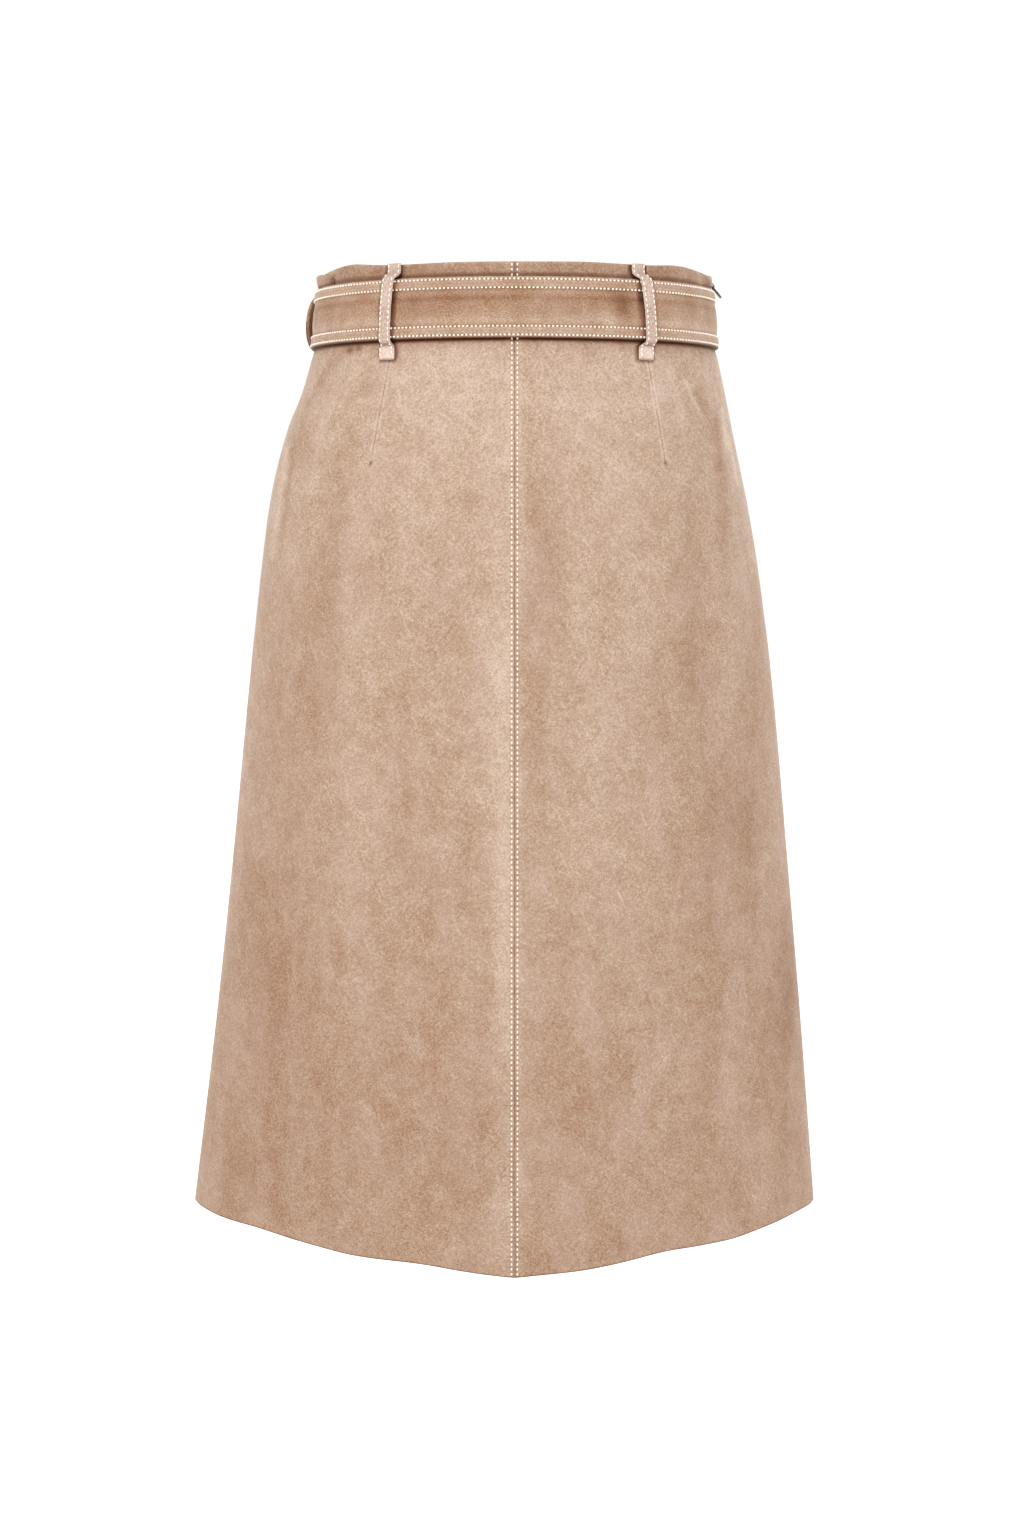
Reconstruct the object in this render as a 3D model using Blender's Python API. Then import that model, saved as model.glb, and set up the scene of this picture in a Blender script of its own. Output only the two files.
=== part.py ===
"""A suede A-line skirt with its own belt, in its worn, hollow form.

Metres, +Z up. The wearer's front faces -Y, the wearer's left is +X. The origin is the middle
of the waist opening, at the height of the top edge. An angle runs round the garment from the
wearer's left side (0) over the centre back (90) and the wearer's right (180) to the centre
front (270). A level is a distance out from the skirt's outer face.
"""

from bisect import bisect_left
from collections import namedtuple
from math import acos, ceil, cos, degrees, hypot, radians, sin, sqrt

import bmesh
import bpy
from mathutils import Matrix, Vector

MM = 0.001

# ---- driving sizes, mm ---------------------------------------------------------------------
WALL = 1.4  # one thickness of suede
SEAM_GAP = 0.3  # between neighbouring pieces
HEM_DEPTH = 656.5  # the side seams' length below the top edge
RIDGE_ROUND = 7.0  # degrees over which the section turns at a seam's ridge
BACK_DIP, BACK_DIP_POWER = 10.0, 2.4  # the hem hangs lower towards the centre back
FRONT_DIP, FRONT_DIP_POWER = 4.0, 2.0

BELT_TOP, BELT_BOTTOM = -9.2, -48.8
BELT_THICK = 2.4
BELT_STAND_OFF = 0.6
LAYER_GAP = 0.4

LEFT, BACK, RIGHT, FRONT = 0.0, 90.0, 180.0, 270.0

# One row for each level section: how far below the top edge it lies, its half widths on the
# wearer's left and right, its half depths behind and in front, and how far its quarters are
# drawn flat between the seams (0 is an ellipse, 1 a straight line).
Section = namedtuple("Section", "depth left right back front flat")
SECTIONS = (
    Section(0, 137.6, 137.0, 99.0, 96.0, 0.0),
    Section(9, 135.0, 135.6, 97.5, 94.5, 0.0),
    Section(29, 136.4, 136.8, 98.3, 95.3, 0.0),
    Section(48, 138.4, 138.8, 100.0, 96.8, 0.0),
    Section(57, 141.0, 141.4, 102.5, 98.4, 0.0),
    Section(80, 148.2, 146.6, 110.0, 102.4, 0.02),
    Section(100, 156.6, 150.8, 116.0, 105.8, 0.05),
    Section(128, 165.2, 156.8, 122.5, 109.6, 0.08),
    Section(156, 171.3, 163.0, 127.0, 113.0, 0.10),
    Section(200, 177.6, 170.9, 131.5, 117.8, 0.14),
    Section(282, 187.3, 182.2, 135.5, 124.6, 0.19),
    Section(400, 200.0, 194.0, 138.5, 132.2, 0.25),
    Section(527, 214.9, 206.2, 141.5, 138.0, 0.31),
    Section(657, 232.0, 217.4, 143.5, 142.0, 0.36),
)

# The depths at which a panel has a row of points.
PANEL_DEPTHS = (0, 5, 9, 20, 34, 48, 53, 60, 72, 88, 108, 134, 165, 205, 260, 330, 410, 495, 580)
PANEL_STEP = 5.6  # degrees between a panel's columns, at most


# ---- the garment's form --------------------------------------------------------------------
def smooth(before, start, end, after, t):
    """The Catmull-Rom value between start and end."""
    return 0.5 * (
        2 * start
        + (end - before) * t
        + (2 * before - 5 * start + 4 * end - after) * t**2
        + (3 * start - before - 3 * end + after) * t**3
    )


def section_at(z):
    """The section at height z, read smoothly between the rows."""
    depth = min(max(-z, SECTIONS[0].depth), SECTIONS[-1].depth)
    above = min(max(bisect_left([s.depth for s in SECTIONS], depth) - 1, 0), len(SECTIONS) - 2)
    rows = [SECTIONS[min(max(above + k, 0), len(SECTIONS) - 1)] for k in (-1, 0, 1, 2)]
    t = (depth - rows[1].depth) / (rows[2].depth - rows[1].depth)
    slopes = []
    for low, mid, high in (rows[:3], rows[1:]):
        slopes.append([(h - b) / (high.depth - low.depth) for b, h in zip(low, high)])
    span = rows[2].depth - rows[1].depth
    values = []
    for start, end, leave, arrive in zip(rows[1], rows[2], *slopes):
        values.append(
            start * (1 + 2 * t) * (1 - t) ** 2
            + leave * span * t * (1 - t) ** 2
            + end * t**2 * (3 - 2 * t)
            + arrive * span * t**2 * (t - 1)
        )
    return Section(*values)


def straight_cosine(angle):
    """A triangle wave with the cosine's zeros, and peaks rounded as a seam's ridge is."""
    turned = abs((angle + 180) % 360 - 180)
    sign = 1 if turned <= 90 else -1
    fall = hypot(min(turned, 180 - turned), RIDGE_ROUND) - RIDGE_ROUND
    return sign * (1 - fall / (hypot(90, RIDGE_ROUND) - RIDGE_ROUND))


def skirt_point(angle, z):
    """A point of the skirt's outer face."""
    section = section_at(z)
    across, along = cos(radians(angle)), sin(radians(angle))
    flat = section.flat if along >= 0 else section.flat * across**2
    x = (1 - flat) * across + flat * straight_cosine(angle)
    y = (1 - flat) * along + flat * straight_cosine(angle - 90)
    x *= section.left if across > 0 else section.right
    y *= section.back if along > 0 else section.front
    return Vector((x, y, z))


def outward(angle, z, step=1.5):
    """The level unit vector that points out of the skirt's face."""
    along = skirt_point(angle + step, z) - skirt_point(angle - step, z)
    return Vector((along.y, -along.x, 0)).normalized()


def normal(angle, z, step=1.5):
    """The unit normal of the skirt's outer face."""
    along = skirt_point(angle + step, z) - skirt_point(angle - step, z)
    down = skirt_point(angle, z - step) - skirt_point(angle, min(z + step, 0))
    return down.cross(along).normalized()


def off_skirt(angle, z, level):
    """A point at a level outside (or inside) the skirt's face, at the same height."""
    return skirt_point(angle, z) + outward(angle, z) * level


def degrees_for(angle, z, distance):
    """The angle that a short distance along the section takes."""
    return distance / (skirt_point(angle + 0.5, z) - skirt_point(angle - 0.5, z)).length


def hem_height(angle):
    """The height of the hem. It hangs lower towards the centre back and the centre front."""
    turned = angle % 360
    if turned <= 180:
        return -HEM_DEPTH - BACK_DIP * (1 - abs(turned - BACK) / 90) ** BACK_DIP_POWER
    return -HEM_DEPTH - FRONT_DIP * (1 - abs(turned - FRONT) / 90) ** FRONT_DIP_POWER


# ---- small modelling helpers ---------------------------------------------------------------
def material(name, colour, roughness, metallic=0.0):
    made = bpy.data.materials.new(name)
    made.use_nodes = True
    shader = made.node_tree.nodes["Principled BSDF"]
    shader.inputs["Base Color"].default_value = (*colour, 1.0)
    shader.inputs["Roughness"].default_value = roughness
    shader.inputs["Metallic"].default_value = metallic
    made.diffuse_color = (*colour, 1.0)
    return made


def make_object(name, mesh_builder, finish):
    """A new object from a bmesh whose points are in millimetres."""
    bmesh.ops.scale(mesh_builder, vec=(MM, MM, MM), verts=mesh_builder.verts)
    bmesh.ops.recalc_face_normals(mesh_builder, faces=mesh_builder.faces)
    mesh = bpy.data.meshes.new(name)
    mesh_builder.to_mesh(mesh)
    mesh_builder.free()
    mesh.materials.append(finish)
    made = bpy.data.objects.new(name, mesh)
    bpy.context.scene.collection.objects.link(made)
    return made


def closed_strip(rings):
    """A closed body through rings of equally many points, with a flat cap at each end."""
    built = bmesh.new()
    loops = [[built.verts.new(point) for point in ring] for ring in rings]
    count = len(loops[0])
    for near, far in zip(loops, loops[1:]):
        for k in range(count):
            built.faces.new((near[k], near[(k + 1) % count], far[(k + 1) % count], far[k]))
    built.faces.new(loops[0])
    built.faces.new(loops[-1])
    return built


def add_box(built, size, centre, turn=None):
    """Adds a box to a bmesh, turned about its own centre."""
    place = Matrix.Translation(centre) @ (turn or Matrix.Identity(4))
    return bmesh.ops.create_cube(built, size=1.0, matrix=place @ Matrix.Diagonal((*size, 1.0)))


def combine(target, part, operation):
    """Unites a part with the target or cuts it out, and leaves the part out as a guide."""
    step = target.modifiers.new(operation.lower() + "_" + part.name, "BOOLEAN")
    step.operation = operation
    step.solver = "EXACT"
    step.object = part
    part.hide_render = True
    part.display_type = "WIRE"


# ---- panels --------------------------------------------------------------------------------
ZIP_MOUTH_HALF = 3.0  # the panels part over the zip's slider
ZIP_MOUTH_FULL, ZIP_MOUTH_SHUT = -9.5, -17.0


def mouth_width(z):
    """How far each panel stands back from the zip's line."""
    share = (z - ZIP_MOUTH_SHUT) / (ZIP_MOUTH_FULL - ZIP_MOUTH_SHUT)
    share = min(max(share, 0.0), 1.0)
    return SEAM_GAP / 2 + (ZIP_MOUTH_HALF - SEAM_GAP / 2) * share**2 * (3 - 2 * share)


def edge_inset(angle, z):
    """A panel edge's distance from the seam's line."""
    return mouth_width(z) if angle == RIGHT else SEAM_GAP / 2


def panel(name, start, end, finish):
    """A cut panel of suede between two seams, start to end in degrees."""
    columns = ceil((end - start) / PANEL_STEP)
    built = bmesh.new()
    outer, inner = [], []
    for depth in (*PANEL_DEPTHS, HEM_DEPTH):
        drop = depth / HEM_DEPTH
        outer_row, inner_row = [], []
        for column in range(columns + 1):
            share = column / columns
            rough_angle = start + (end - start) * share
            z = drop * hem_height(rough_angle)
            first = start + degrees_for(start, z, edge_inset(start, z))
            last = end - degrees_for(end, z, edge_inset(end, z))
            angle = first + (last - first) * share
            face = skirt_point(angle, z)
            outer_row.append(built.verts.new(face))
            inner_row.append(built.verts.new(face - normal(angle, z) * WALL))
        outer.append(outer_row)
        inner.append(inner_row)
    for upper, lower in zip(outer, outer[1:]):
        for k in range(columns):
            built.faces.new((upper[k], upper[k + 1], lower[k + 1], lower[k]))
    for upper, lower in zip(inner, inner[1:]):
        for k in range(columns):
            built.faces.new((upper[k], lower[k], lower[k + 1], upper[k + 1]))
    rim_out = outer[0] + [row[-1] for row in outer[1:]]
    rim_out += outer[-1][-2::-1] + [row[0] for row in outer[-2:0:-1]]
    rim_in = inner[0] + [row[-1] for row in inner[1:]]
    rim_in += inner[-1][-2::-1] + [row[0] for row in inner[-2:0:-1]]
    for k, point in enumerate(rim_out):
        after = (k + 1) % len(rim_out)
        built.faces.new((point, rim_in[k], rim_in[after], rim_out[after]))
    return make_object(name, built, finish)


# ---- belt ----------------------------------------------------------------------------------
BELT_LEVEL = BELT_STAND_OFF + BELT_THICK / 2  # the middle of the strap on the skirt
TAIL_LEVEL = BELT_LEVEL + BELT_THICK + LAYER_GAP  # the middle of the tail that lies on it
BELT_MIDDLE = (BELT_TOP + BELT_BOTTOM) / 2

BUCKLE_BAR_LEVEL = 5.4  # the middle of the bar that the belt's sewn end goes round
BUCKLE_BAR_RADIUS = 1.1
WRAP_RADIUS = BUCKLE_BAR_RADIUS + LAYER_GAP + BELT_THICK / 2
WRAP_STEPS = 8
BUCKLE_HALF_LENGTH = 24.0  # from the centre bar to the middle of an end bar
BUCKLE_TILT = 0.06  # the end over the tail stands higher
TIP_ANGLE = -3.0  # where the tail ends, just in front of the wearer's left side
TIP_CURL_LENGTH, TIP_CURL_RISE, TIP_STEPS = 34.0, 3.6, 12  # its end stands off the belt
RUN_STEP = 8.5  # between the belt's rings where it only follows the waist

BeltRow = namedtuple("BeltRow", "along level")
# The sewn end, folded back over the strap, from its cut edge to the top of the bar.
FOLDED_END = (BeltRow(13.0, 5.0), BeltRow(8.0, 6.6), BeltRow(3.0, 8.0))
# The strap from under the bar to where it lies on the skirt.
STRAP_START = (BeltRow(4.5, 2.5), BeltRow(12.0, BELT_LEVEL))
# The tail through the buckle: under the far end bar, over the centre bar, under the near one.
TAIL_THROUGH = (
    BeltRow(-34.0, BELT_LEVEL),
    BeltRow(-27.0, 1.9),
    BeltRow(-21.0, 2.5),
    BeltRow(-15.0, 5.2),
    BeltRow(-9.0, 9.0),
    BeltRow(-3.0, 11.0),
    BeltRow(3.0, 11.1),
    BeltRow(9.0, 9.9),
    BeltRow(15.0, 7.1),
    BeltRow(21.0, 5.1),
    BeltRow(28.0, 4.7),
    BeltRow(37.0, TAIL_LEVEL),
)


def girth_table(z, count=1440):
    """Distances along the level section at z, from the centre front round over the left."""
    table = [(0.0, FRONT)]
    last = skirt_point(FRONT, z)
    for k in range(1, count + 1):
        angle = FRONT + 360 * k / count
        point = skirt_point(angle, z)
        table.append((table[-1][0] + (point - last).length, angle))
        last = point
    return table


def angle_along(table, distance):
    """The angle at a distance along the section. It runs on past one turn."""
    girth = table[-1][0]
    turns, rest = divmod(distance, girth)
    k = min(max(bisect_left(table, (rest, 0.0)), 1), len(table) - 1)
    (low, low_angle), (high, high_angle) = table[k - 1], table[k]
    share = (rest - low) / (high - low)
    return low_angle + (high_angle - low_angle) * share + 360 * turns


def smooth_path(rows, step):
    """A curve through the rows, with points about a step apart."""
    path = []
    for k in range(len(rows) - 1):
        four = [rows[min(max(k + j, 0), len(rows) - 1)] for j in (-1, 0, 1, 2)]
        steps = max(1, round(abs(four[2].along - four[1].along) / step))
        for j in range(steps):
            path.append(BeltRow(*(smooth(*values, j / steps) for values in zip(*four))))
    path.append(rows[-1])
    return path


def belt_path(girth, tail_end):
    """The belt's middle line: distances along the girth and levels."""
    wrap = []
    for k in range(1, WRAP_STEPS):
        turn = radians(90 + 180 * k / WRAP_STEPS)
        wrap.append(
            BeltRow(WRAP_RADIUS * cos(turn), BUCKLE_BAR_LEVEL + WRAP_RADIUS * sin(turn))
        )
    top = BeltRow(0.0, BUCKLE_BAR_LEVEL + WRAP_RADIUS)
    bottom = BeltRow(0.0, BUCKLE_BAR_LEVEL - WRAP_RADIUS)
    path = smooth_path([*FOLDED_END, top], 2.5) + wrap
    path += smooth_path([bottom, *STRAP_START], 4.0)
    strap_end = girth + TAIL_THROUGH[0].along
    count = ceil((strap_end - STRAP_START[-1].along) / RUN_STEP)
    run = strap_end - STRAP_START[-1].along
    path += [BeltRow(STRAP_START[-1].along + run * k / count, BELT_LEVEL) for k in range(1, count)]
    path += smooth_path([BeltRow(girth + r.along, r.level) for r in TAIL_THROUGH], 3.0)
    curl_start = tail_end - TIP_CURL_LENGTH
    count = ceil((curl_start - path[-1].along) / RUN_STEP)
    run = curl_start - path[-1].along
    start = path[-1].along
    path += [BeltRow(start + run * k / count, TAIL_LEVEL) for k in range(1, count + 1)]
    for k in range(1, TIP_STEPS + 1):
        share = sin(radians(90 * k / TIP_STEPS))
        level = TAIL_LEVEL + TIP_CURL_RISE * share**2
        path.append(BeltRow(curl_start + TIP_CURL_LENGTH * share, level))
    return path


def belt(finish):
    """The belt: one strap, once round the waist and on through its buckle."""
    table = girth_table(BELT_MIDDLE)
    girth = table[-1][0]
    tail_end = girth + next(d for d, angle in table if angle >= 360 + TIP_ANGLE)
    path = belt_path(girth, tail_end)
    middle = []
    for row in path:
        angle = angle_along(table, row.along)
        middle.append((angle, row.level, row.along))
    half_height = (BELT_TOP - BELT_BOTTOM) / 2
    round_start = tail_end - half_height
    rings = []
    for k, (angle, level, along) in enumerate(middle):
        before, after = middle[max(k - 1, 0)], middle[min(k + 1, len(middle) - 1)]
        run = off_skirt(after[0], BELT_MIDDLE, after[1]) - off_skirt(
            before[0], BELT_MIDDLE, before[1]
        )
        across = Vector((run.y, -run.x, 0)).normalized() * (BELT_THICK / 2)
        past = min(max((along - round_start) / half_height, 0.0), 0.985)
        reach = half_height * sqrt(1 - past**2)
        low = off_skirt(angle, BELT_MIDDLE - reach, level)
        high = off_skirt(angle, BELT_MIDDLE + reach, level)
        rings.append((low - across, high - across, high + across, low + across))
    return make_object("belt", closed_strip(rings), finish)


# ---- buckle --------------------------------------------------------------------------------
BUCKLE_BAR_WIDE, BUCKLE_BAR_THICK = 3.2, 2.2
BUCKLE_CLEARANCE = 0.9  # over and under the belt
BUCKLE_CORNER = 2.0  # inside


def rounded_rectangle(half_width, half_height, radius, steps=4):
    """Points round a rectangle with round corners."""
    points = []
    for corner, (side, end) in enumerate(((1, 1), (-1, 1), (-1, -1), (1, -1))):
        for k in range(steps + 1):
            turn = radians(90 * corner + 90 * k / steps)
            points.append(
                (
                    side * (half_width - radius) + radius * cos(turn),
                    end * (half_height - radius) + radius * sin(turn),
                )
            )
    return points


def buckle(finish):
    """A plain slide buckle: a rounded frame and the centre bar that the belt is sewn round."""
    top = off_skirt(FRONT, BELT_TOP, BUCKLE_BAR_LEVEL)
    bottom = off_skirt(FRONT, BELT_BOTTOM, BUCKLE_BAR_LEVEL)
    up = (top - bottom).normalized()
    along = Vector((1, -BUCKLE_TILT, 0)).normalized()
    out = along.cross(up).normalized()
    up = out.cross(along)
    place = Matrix((along, up, out)).transposed().to_4x4()
    place.translation = (top + bottom) / 2

    half_opening = (BELT_TOP - BELT_BOTTOM) / 2 + BUCKLE_CLEARANCE
    inner_width = BUCKLE_HALF_LENGTH - BUCKLE_BAR_WIDE / 2
    thick = BUCKLE_BAR_THICK / 2
    rings = []
    wide = BUCKLE_BAR_WIDE
    for grow, lift in ((0, -thick), (wide, -thick), (wide, thick), (0, thick)):
        outline = rounded_rectangle(inner_width + grow, half_opening + grow, BUCKLE_CORNER + grow)
        rings.append([place @ Vector((u, v, lift)) for u, v in outline])
    built = bmesh.new()
    loops = [[built.verts.new(point) for point in ring] for ring in rings]
    count = len(loops[0])
    for near, far in zip(loops, loops[1:] + loops[:1]):
        for k in range(count):
            built.faces.new((near[k], near[(k + 1) % count], far[(k + 1) % count], far[k]))
    frame = make_object("buckle", built, finish)

    bar_mesh = bmesh.new()
    length = 2 * half_opening + BUCKLE_BAR_WIDE
    bmesh.ops.create_cone(
        bar_mesh,
        cap_ends=True,
        segments=12,
        radius1=BUCKLE_BAR_RADIUS,
        radius2=BUCKLE_BAR_RADIUS,
        depth=length,
        matrix=place @ Matrix.Rotation(radians(90), 4, "X"),
    )
    combine(frame, make_object("buckle_centre_bar", bar_mesh, finish), "UNION")
    return frame


# ---- belt loops ----------------------------------------------------------------------------
LOOP_THICK = 1.5
# One row for each bend of a loop's strap, from its top end: its height, its middle's level
# over one layer of belt, how much of its sideways lean it has there, its width and thickness.
LoopRow = namedtuple("LoopRow", "z level lean width thick")
LOOP_GAP, LOOP_BELT_GAP = 0.4, 0.55  # clear of the flat facets under a loop
LOOP_END_THICK = 2.6  # the lower end is folded double
ON_SKIRT = LOOP_GAP + LOOP_THICK / 2
ON_SKIRT_FOLDED = LOOP_GAP + LOOP_END_THICK / 2
OVER_BELT = BELT_STAND_OFF + BELT_THICK + LOOP_BELT_GAP + LOOP_THICK / 2
LOOP_ROWS = (
    LoopRow(0.7, ON_SKIRT, 0.0, 9.0, LOOP_THICK),
    LoopRow(-3.0, ON_SKIRT, 0.0, 9.0, LOOP_THICK),
    LoopRow(-5.6, ON_SKIRT + 0.1, 0.1, 9.0, LOOP_THICK),
    LoopRow(-7.3, 2.7, 0.3, 8.8, LOOP_THICK),
    LoopRow(-8.8, OVER_BELT + 0.1, 0.55, 8.6, LOOP_THICK),
    LoopRow(-14.0, OVER_BELT + 0.3, 0.85, 8.4, LOOP_THICK),
    LoopRow(-28.0, OVER_BELT + 0.3, 1.0, 8.4, LOOP_THICK),
    LoopRow(-44.0, OVER_BELT + 0.1, 1.15, 8.4, LOOP_THICK),
    LoopRow(-49.0, OVER_BELT - 0.1, 1.2, 8.4, LOOP_THICK),
    LoopRow(-50.9, 2.7, 1.15, 8.8, LOOP_THICK),
    LoopRow(-52.4, ON_SKIRT + 0.3, 1.1, 9.6, LOOP_THICK),
    LoopRow(-54.5, ON_SKIRT_FOLDED, 1.1, 10.2, LOOP_END_THICK),
    LoopRow(-61.0, ON_SKIRT_FOLDED, 1.1, 10.2, LOOP_END_THICK),
    LoopRow(-61.9, ON_SKIRT_FOLDED, 1.1, 9.8, 1.8),
)

Loop = namedtuple("Loop", "name x front lean layers")
LOOPS = (
    Loop("back_loop_left", 79.0, False, 3.6, 1),
    Loop("back_loop_right", -80.5, False, -7.0, 1),
    Loop("front_loop_left", 80.0, True, 0.5, 2),
    Loop("front_loop_right", -80.0, True, -0.5, 1),
)


def angle_at_x(x, z, front):
    """Where the section at z passes a sideways distance x."""
    section = section_at(z)
    angle = degrees(acos(x / (section.left if x > 0 else section.right)))
    return 360 - angle if front else angle


def belt_loop(loop, finish):
    """A narrow strap sewn on above and below the belt, with its lower end folded under."""
    more = (loop.layers - 1) * (BELT_THICK + LAYER_GAP)
    points = []
    for row in LOOP_ROWS:
        z = min(row.z, 0.0)
        angle = angle_at_x(loop.x + loop.lean * row.lean, z, loop.front)
        over = (row.level - ON_SKIRT) / (OVER_BELT - ON_SKIRT) if row.thick == LOOP_THICK else 0
        middle = off_skirt(angle, z, row.level + more * min(max(over, 0.0), 1.0))
        middle.z = row.z
        points.append((middle, outward(angle, z)))
    rings = []
    for k, (row, (middle, out)) in enumerate(zip(LOOP_ROWS, points)):
        run = points[min(k + 1, len(points) - 1)][0] - points[max(k - 1, 0)][0]
        side = Vector((-out.y, out.x, 0))
        run -= side * run.dot(side)
        face = side.cross(run).normalized()
        face *= row.thick / 2 * (1 if face.dot(out) > 0 else -1)
        side *= row.width / 2
        rings.append(
            (middle - side - face, middle + side - face, middle + side + face, middle - side + face)
        )
    return make_object(loop.name, closed_strip(rings), finish)


# ---- zip -----------------------------------------------------------------------------------
ZIP_END = -200.0
TAPE_HALF_WIDTH, TAPE_THICK = 8.0, 0.8
TAPE_LEVEL = -(WALL + SEAM_GAP + 0.6)  # its outer face, clear of the panels' flat facets
TAPE_TOP = -0.8
SLIDER_TOP, SLIDER_BOTTOM = -1.2, -8.4
SLIDER_HALF_WIDTH = 2.5
SLIDER_FACE_LEVEL, SLIDER_TAPE_GAP, SLIDER_CORNER = 0.2, 0.5, 1.2
ARCH_WIDE, ARCH_REACH, ARCH_THICK = 1.5, 3.3, 0.7
ARCH_SUNK, ARCH_FLATTEN = 0.35, 0.78  # into the slider, and its height over its reach
PIN_RADIUS = 0.55
PULL_AXIS_OUT, PULL_AXIS_UP = 1.1, -0.7  # the pull tab's axis, from the slider's face
PULL_ARM, PULL_LENGTH, PULL_WIDTH, PULL_THICK = 1.0, 10.5, 4.6, 1.1
WINDOW_END, PULL_CORNER = 5.0, 1.4  # the window's far end, from the axis
PULL_SLOPE = 50.0  # degrees below level, where the tab rests on the belt


def zip_tape(finish):
    """The zip's tape, behind the side seam on the wearer's right."""
    rings = []
    heights = [TAPE_TOP, *(-depth for depth in PANEL_DEPTHS if -depth < TAPE_TOP), ZIP_END]
    for z in (z for z in heights if z >= ZIP_END):
        reach = degrees_for(RIGHT, z, TAPE_HALF_WIDTH)
        angles = [RIGHT + reach * k / 2 for k in (-2, -1, 0, 1, 2)]
        near = [skirt_point(a, z) + normal(a, z) * TAPE_LEVEL for a in angles]
        far = [skirt_point(a, z) + normal(a, z) * (TAPE_LEVEL - TAPE_THICK) for a in angles]
        rings.append(near + far[::-1])
    return make_object("zip_tape", closed_strip(rings), finish)


def zip_frame():
    """The zip's own axes at the slider: X out of the garment, Z up along its face."""
    middle = (SLIDER_TOP + SLIDER_BOTTOM) / 2
    up = (skirt_point(RIGHT, SLIDER_TOP) - skirt_point(RIGHT, SLIDER_BOTTOM)).normalized()
    side = Vector((0, -1, 0))
    place = Matrix((side.cross(up), side, up)).transposed().to_4x4()
    place.translation = skirt_point(RIGHT, middle)
    return place


def zip_slider(finish):
    """The slider in the zip's mouth, with the arch that holds the pull tab."""
    place = zip_frame()
    height = SLIDER_TOP - SLIDER_BOTTOM
    inner = TAPE_LEVEL + SLIDER_TAPE_GAP
    thick = SLIDER_FACE_LEVEL - inner
    built = bmesh.new()
    size = (thick, 2 * SLIDER_HALF_WIDTH, height)
    add_box(built, size, (inner + thick / 2, 0, 0))
    bmesh.ops.bevel(
        built,
        geom=[edge for edge in built.edges if abs(edge.verts[0].co.x - edge.verts[1].co.x) > 0.1],
        offset=SLIDER_CORNER,
        segments=2,
        profile=0.5,
        affect="EDGES",
    )
    bmesh.ops.transform(built, matrix=place, verts=built.verts)
    slider = make_object("zip_slider", built, finish)

    arch = bmesh.new()
    outline = []
    for radius, order in ((ARCH_REACH - ARCH_THICK, 1), (ARCH_REACH, -1)):
        arc = [radians(-90 + 180 * k / 8) for k in range(9)][::order]
        outline += [(radius * cos(t), radius * ARCH_FLATTEN * sin(t)) for t in arc]
    sides = []
    for y in (-ARCH_WIDE / 2, ARCH_WIDE / 2):
        sides.append([(SLIDER_FACE_LEVEL - ARCH_SUNK + x, y, PULL_AXIS_UP + z) for x, z in outline])
    near, far = ([arch.verts.new(place @ Vector(p)) for p in side] for side in sides)
    count = len(near)
    for k in range(count):
        after = (k + 1) % count
        arch.faces.new((near[k], near[after], far[after], far[k]))
    half = count // 2
    for k in range(half - 1):
        other = count - 1 - k
        for side in (near, far):
            arch.faces.new((side[k], side[k + 1], side[other - 1], side[other]))
    combine(slider, make_object("zip_slider_arch", arch, finish), "UNION")
    return slider


def pull_axis():
    """The middle of the pull tab's cross pin, which turns in the slider's arch."""
    return zip_frame() @ Vector((SLIDER_FACE_LEVEL + PULL_AXIS_OUT, 0, PULL_AXIS_UP))


def zip_pull(finish):
    """The pull tab: a plate with a window, whose top edge is the pin in the arch."""
    built = bmesh.new()
    plate = rounded_rectangle(PULL_LENGTH / 2, PULL_WIDTH / 2, PULL_CORNER, steps=3)
    centre = PULL_LENGTH / 2 - PIN_RADIUS
    sides = []
    for y in (-PULL_THICK / 2, PULL_THICK / 2):
        sides.append([built.verts.new((centre + u, v, y)) for u, v in plate])
    near, far = sides
    built.faces.new(near)
    built.faces.new(far)
    for k in range(len(near)):
        after = (k + 1) % len(near)
        built.faces.new((near[k], near[after], far[after], far[k]))
    tab = make_object("zip_pull", built, finish)

    window = bmesh.new()
    size = (WINDOW_END - PIN_RADIUS, PULL_WIDTH - 2 * PULL_ARM, 4 * PULL_THICK)
    add_box(window, size, ((PIN_RADIUS + WINDOW_END) / 2, 0, 0))
    cutter = make_object("zip_pull_window", window, finish)
    combine(tab, cutter, "DIFFERENCE")

    slope = radians(PULL_SLOPE)
    along = Vector((-cos(slope), 0, -sin(slope)))
    across = Vector((0, 1, 0))
    place = Matrix((along, across, along.cross(across))).transposed().to_4x4()
    place.translation = pull_axis() * MM
    tab.matrix_world = place
    cutter.matrix_world = place
    return tab


# ---- the garment ---------------------------------------------------------------------------
def clear_scene():
    for item in list(bpy.data.objects):
        bpy.data.objects.remove(item, do_unlink=True)


def build():
    clear_scene()
    suede = material("suede", (0.57, 0.40, 0.28), 0.92)
    loop_suede = material("loop_suede", (0.66, 0.49, 0.38), 0.9)
    tape = material("zip_tape", (0.50, 0.36, 0.26), 0.9)
    dark_metal = material("dark_metal", (0.10, 0.08, 0.06), 0.38, 1.0)

    panel("back_left", LEFT, BACK, suede)
    panel("back_right", BACK, RIGHT, suede)
    panel("front", RIGHT, LEFT + 360, suede)
    belt(suede)
    buckle(dark_metal)
    for loop in LOOPS:
        belt_loop(loop, loop_suede)
    zip_tape(tape)
    zip_slider(dark_metal)
    zip_pull(dark_metal)


build()
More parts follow.
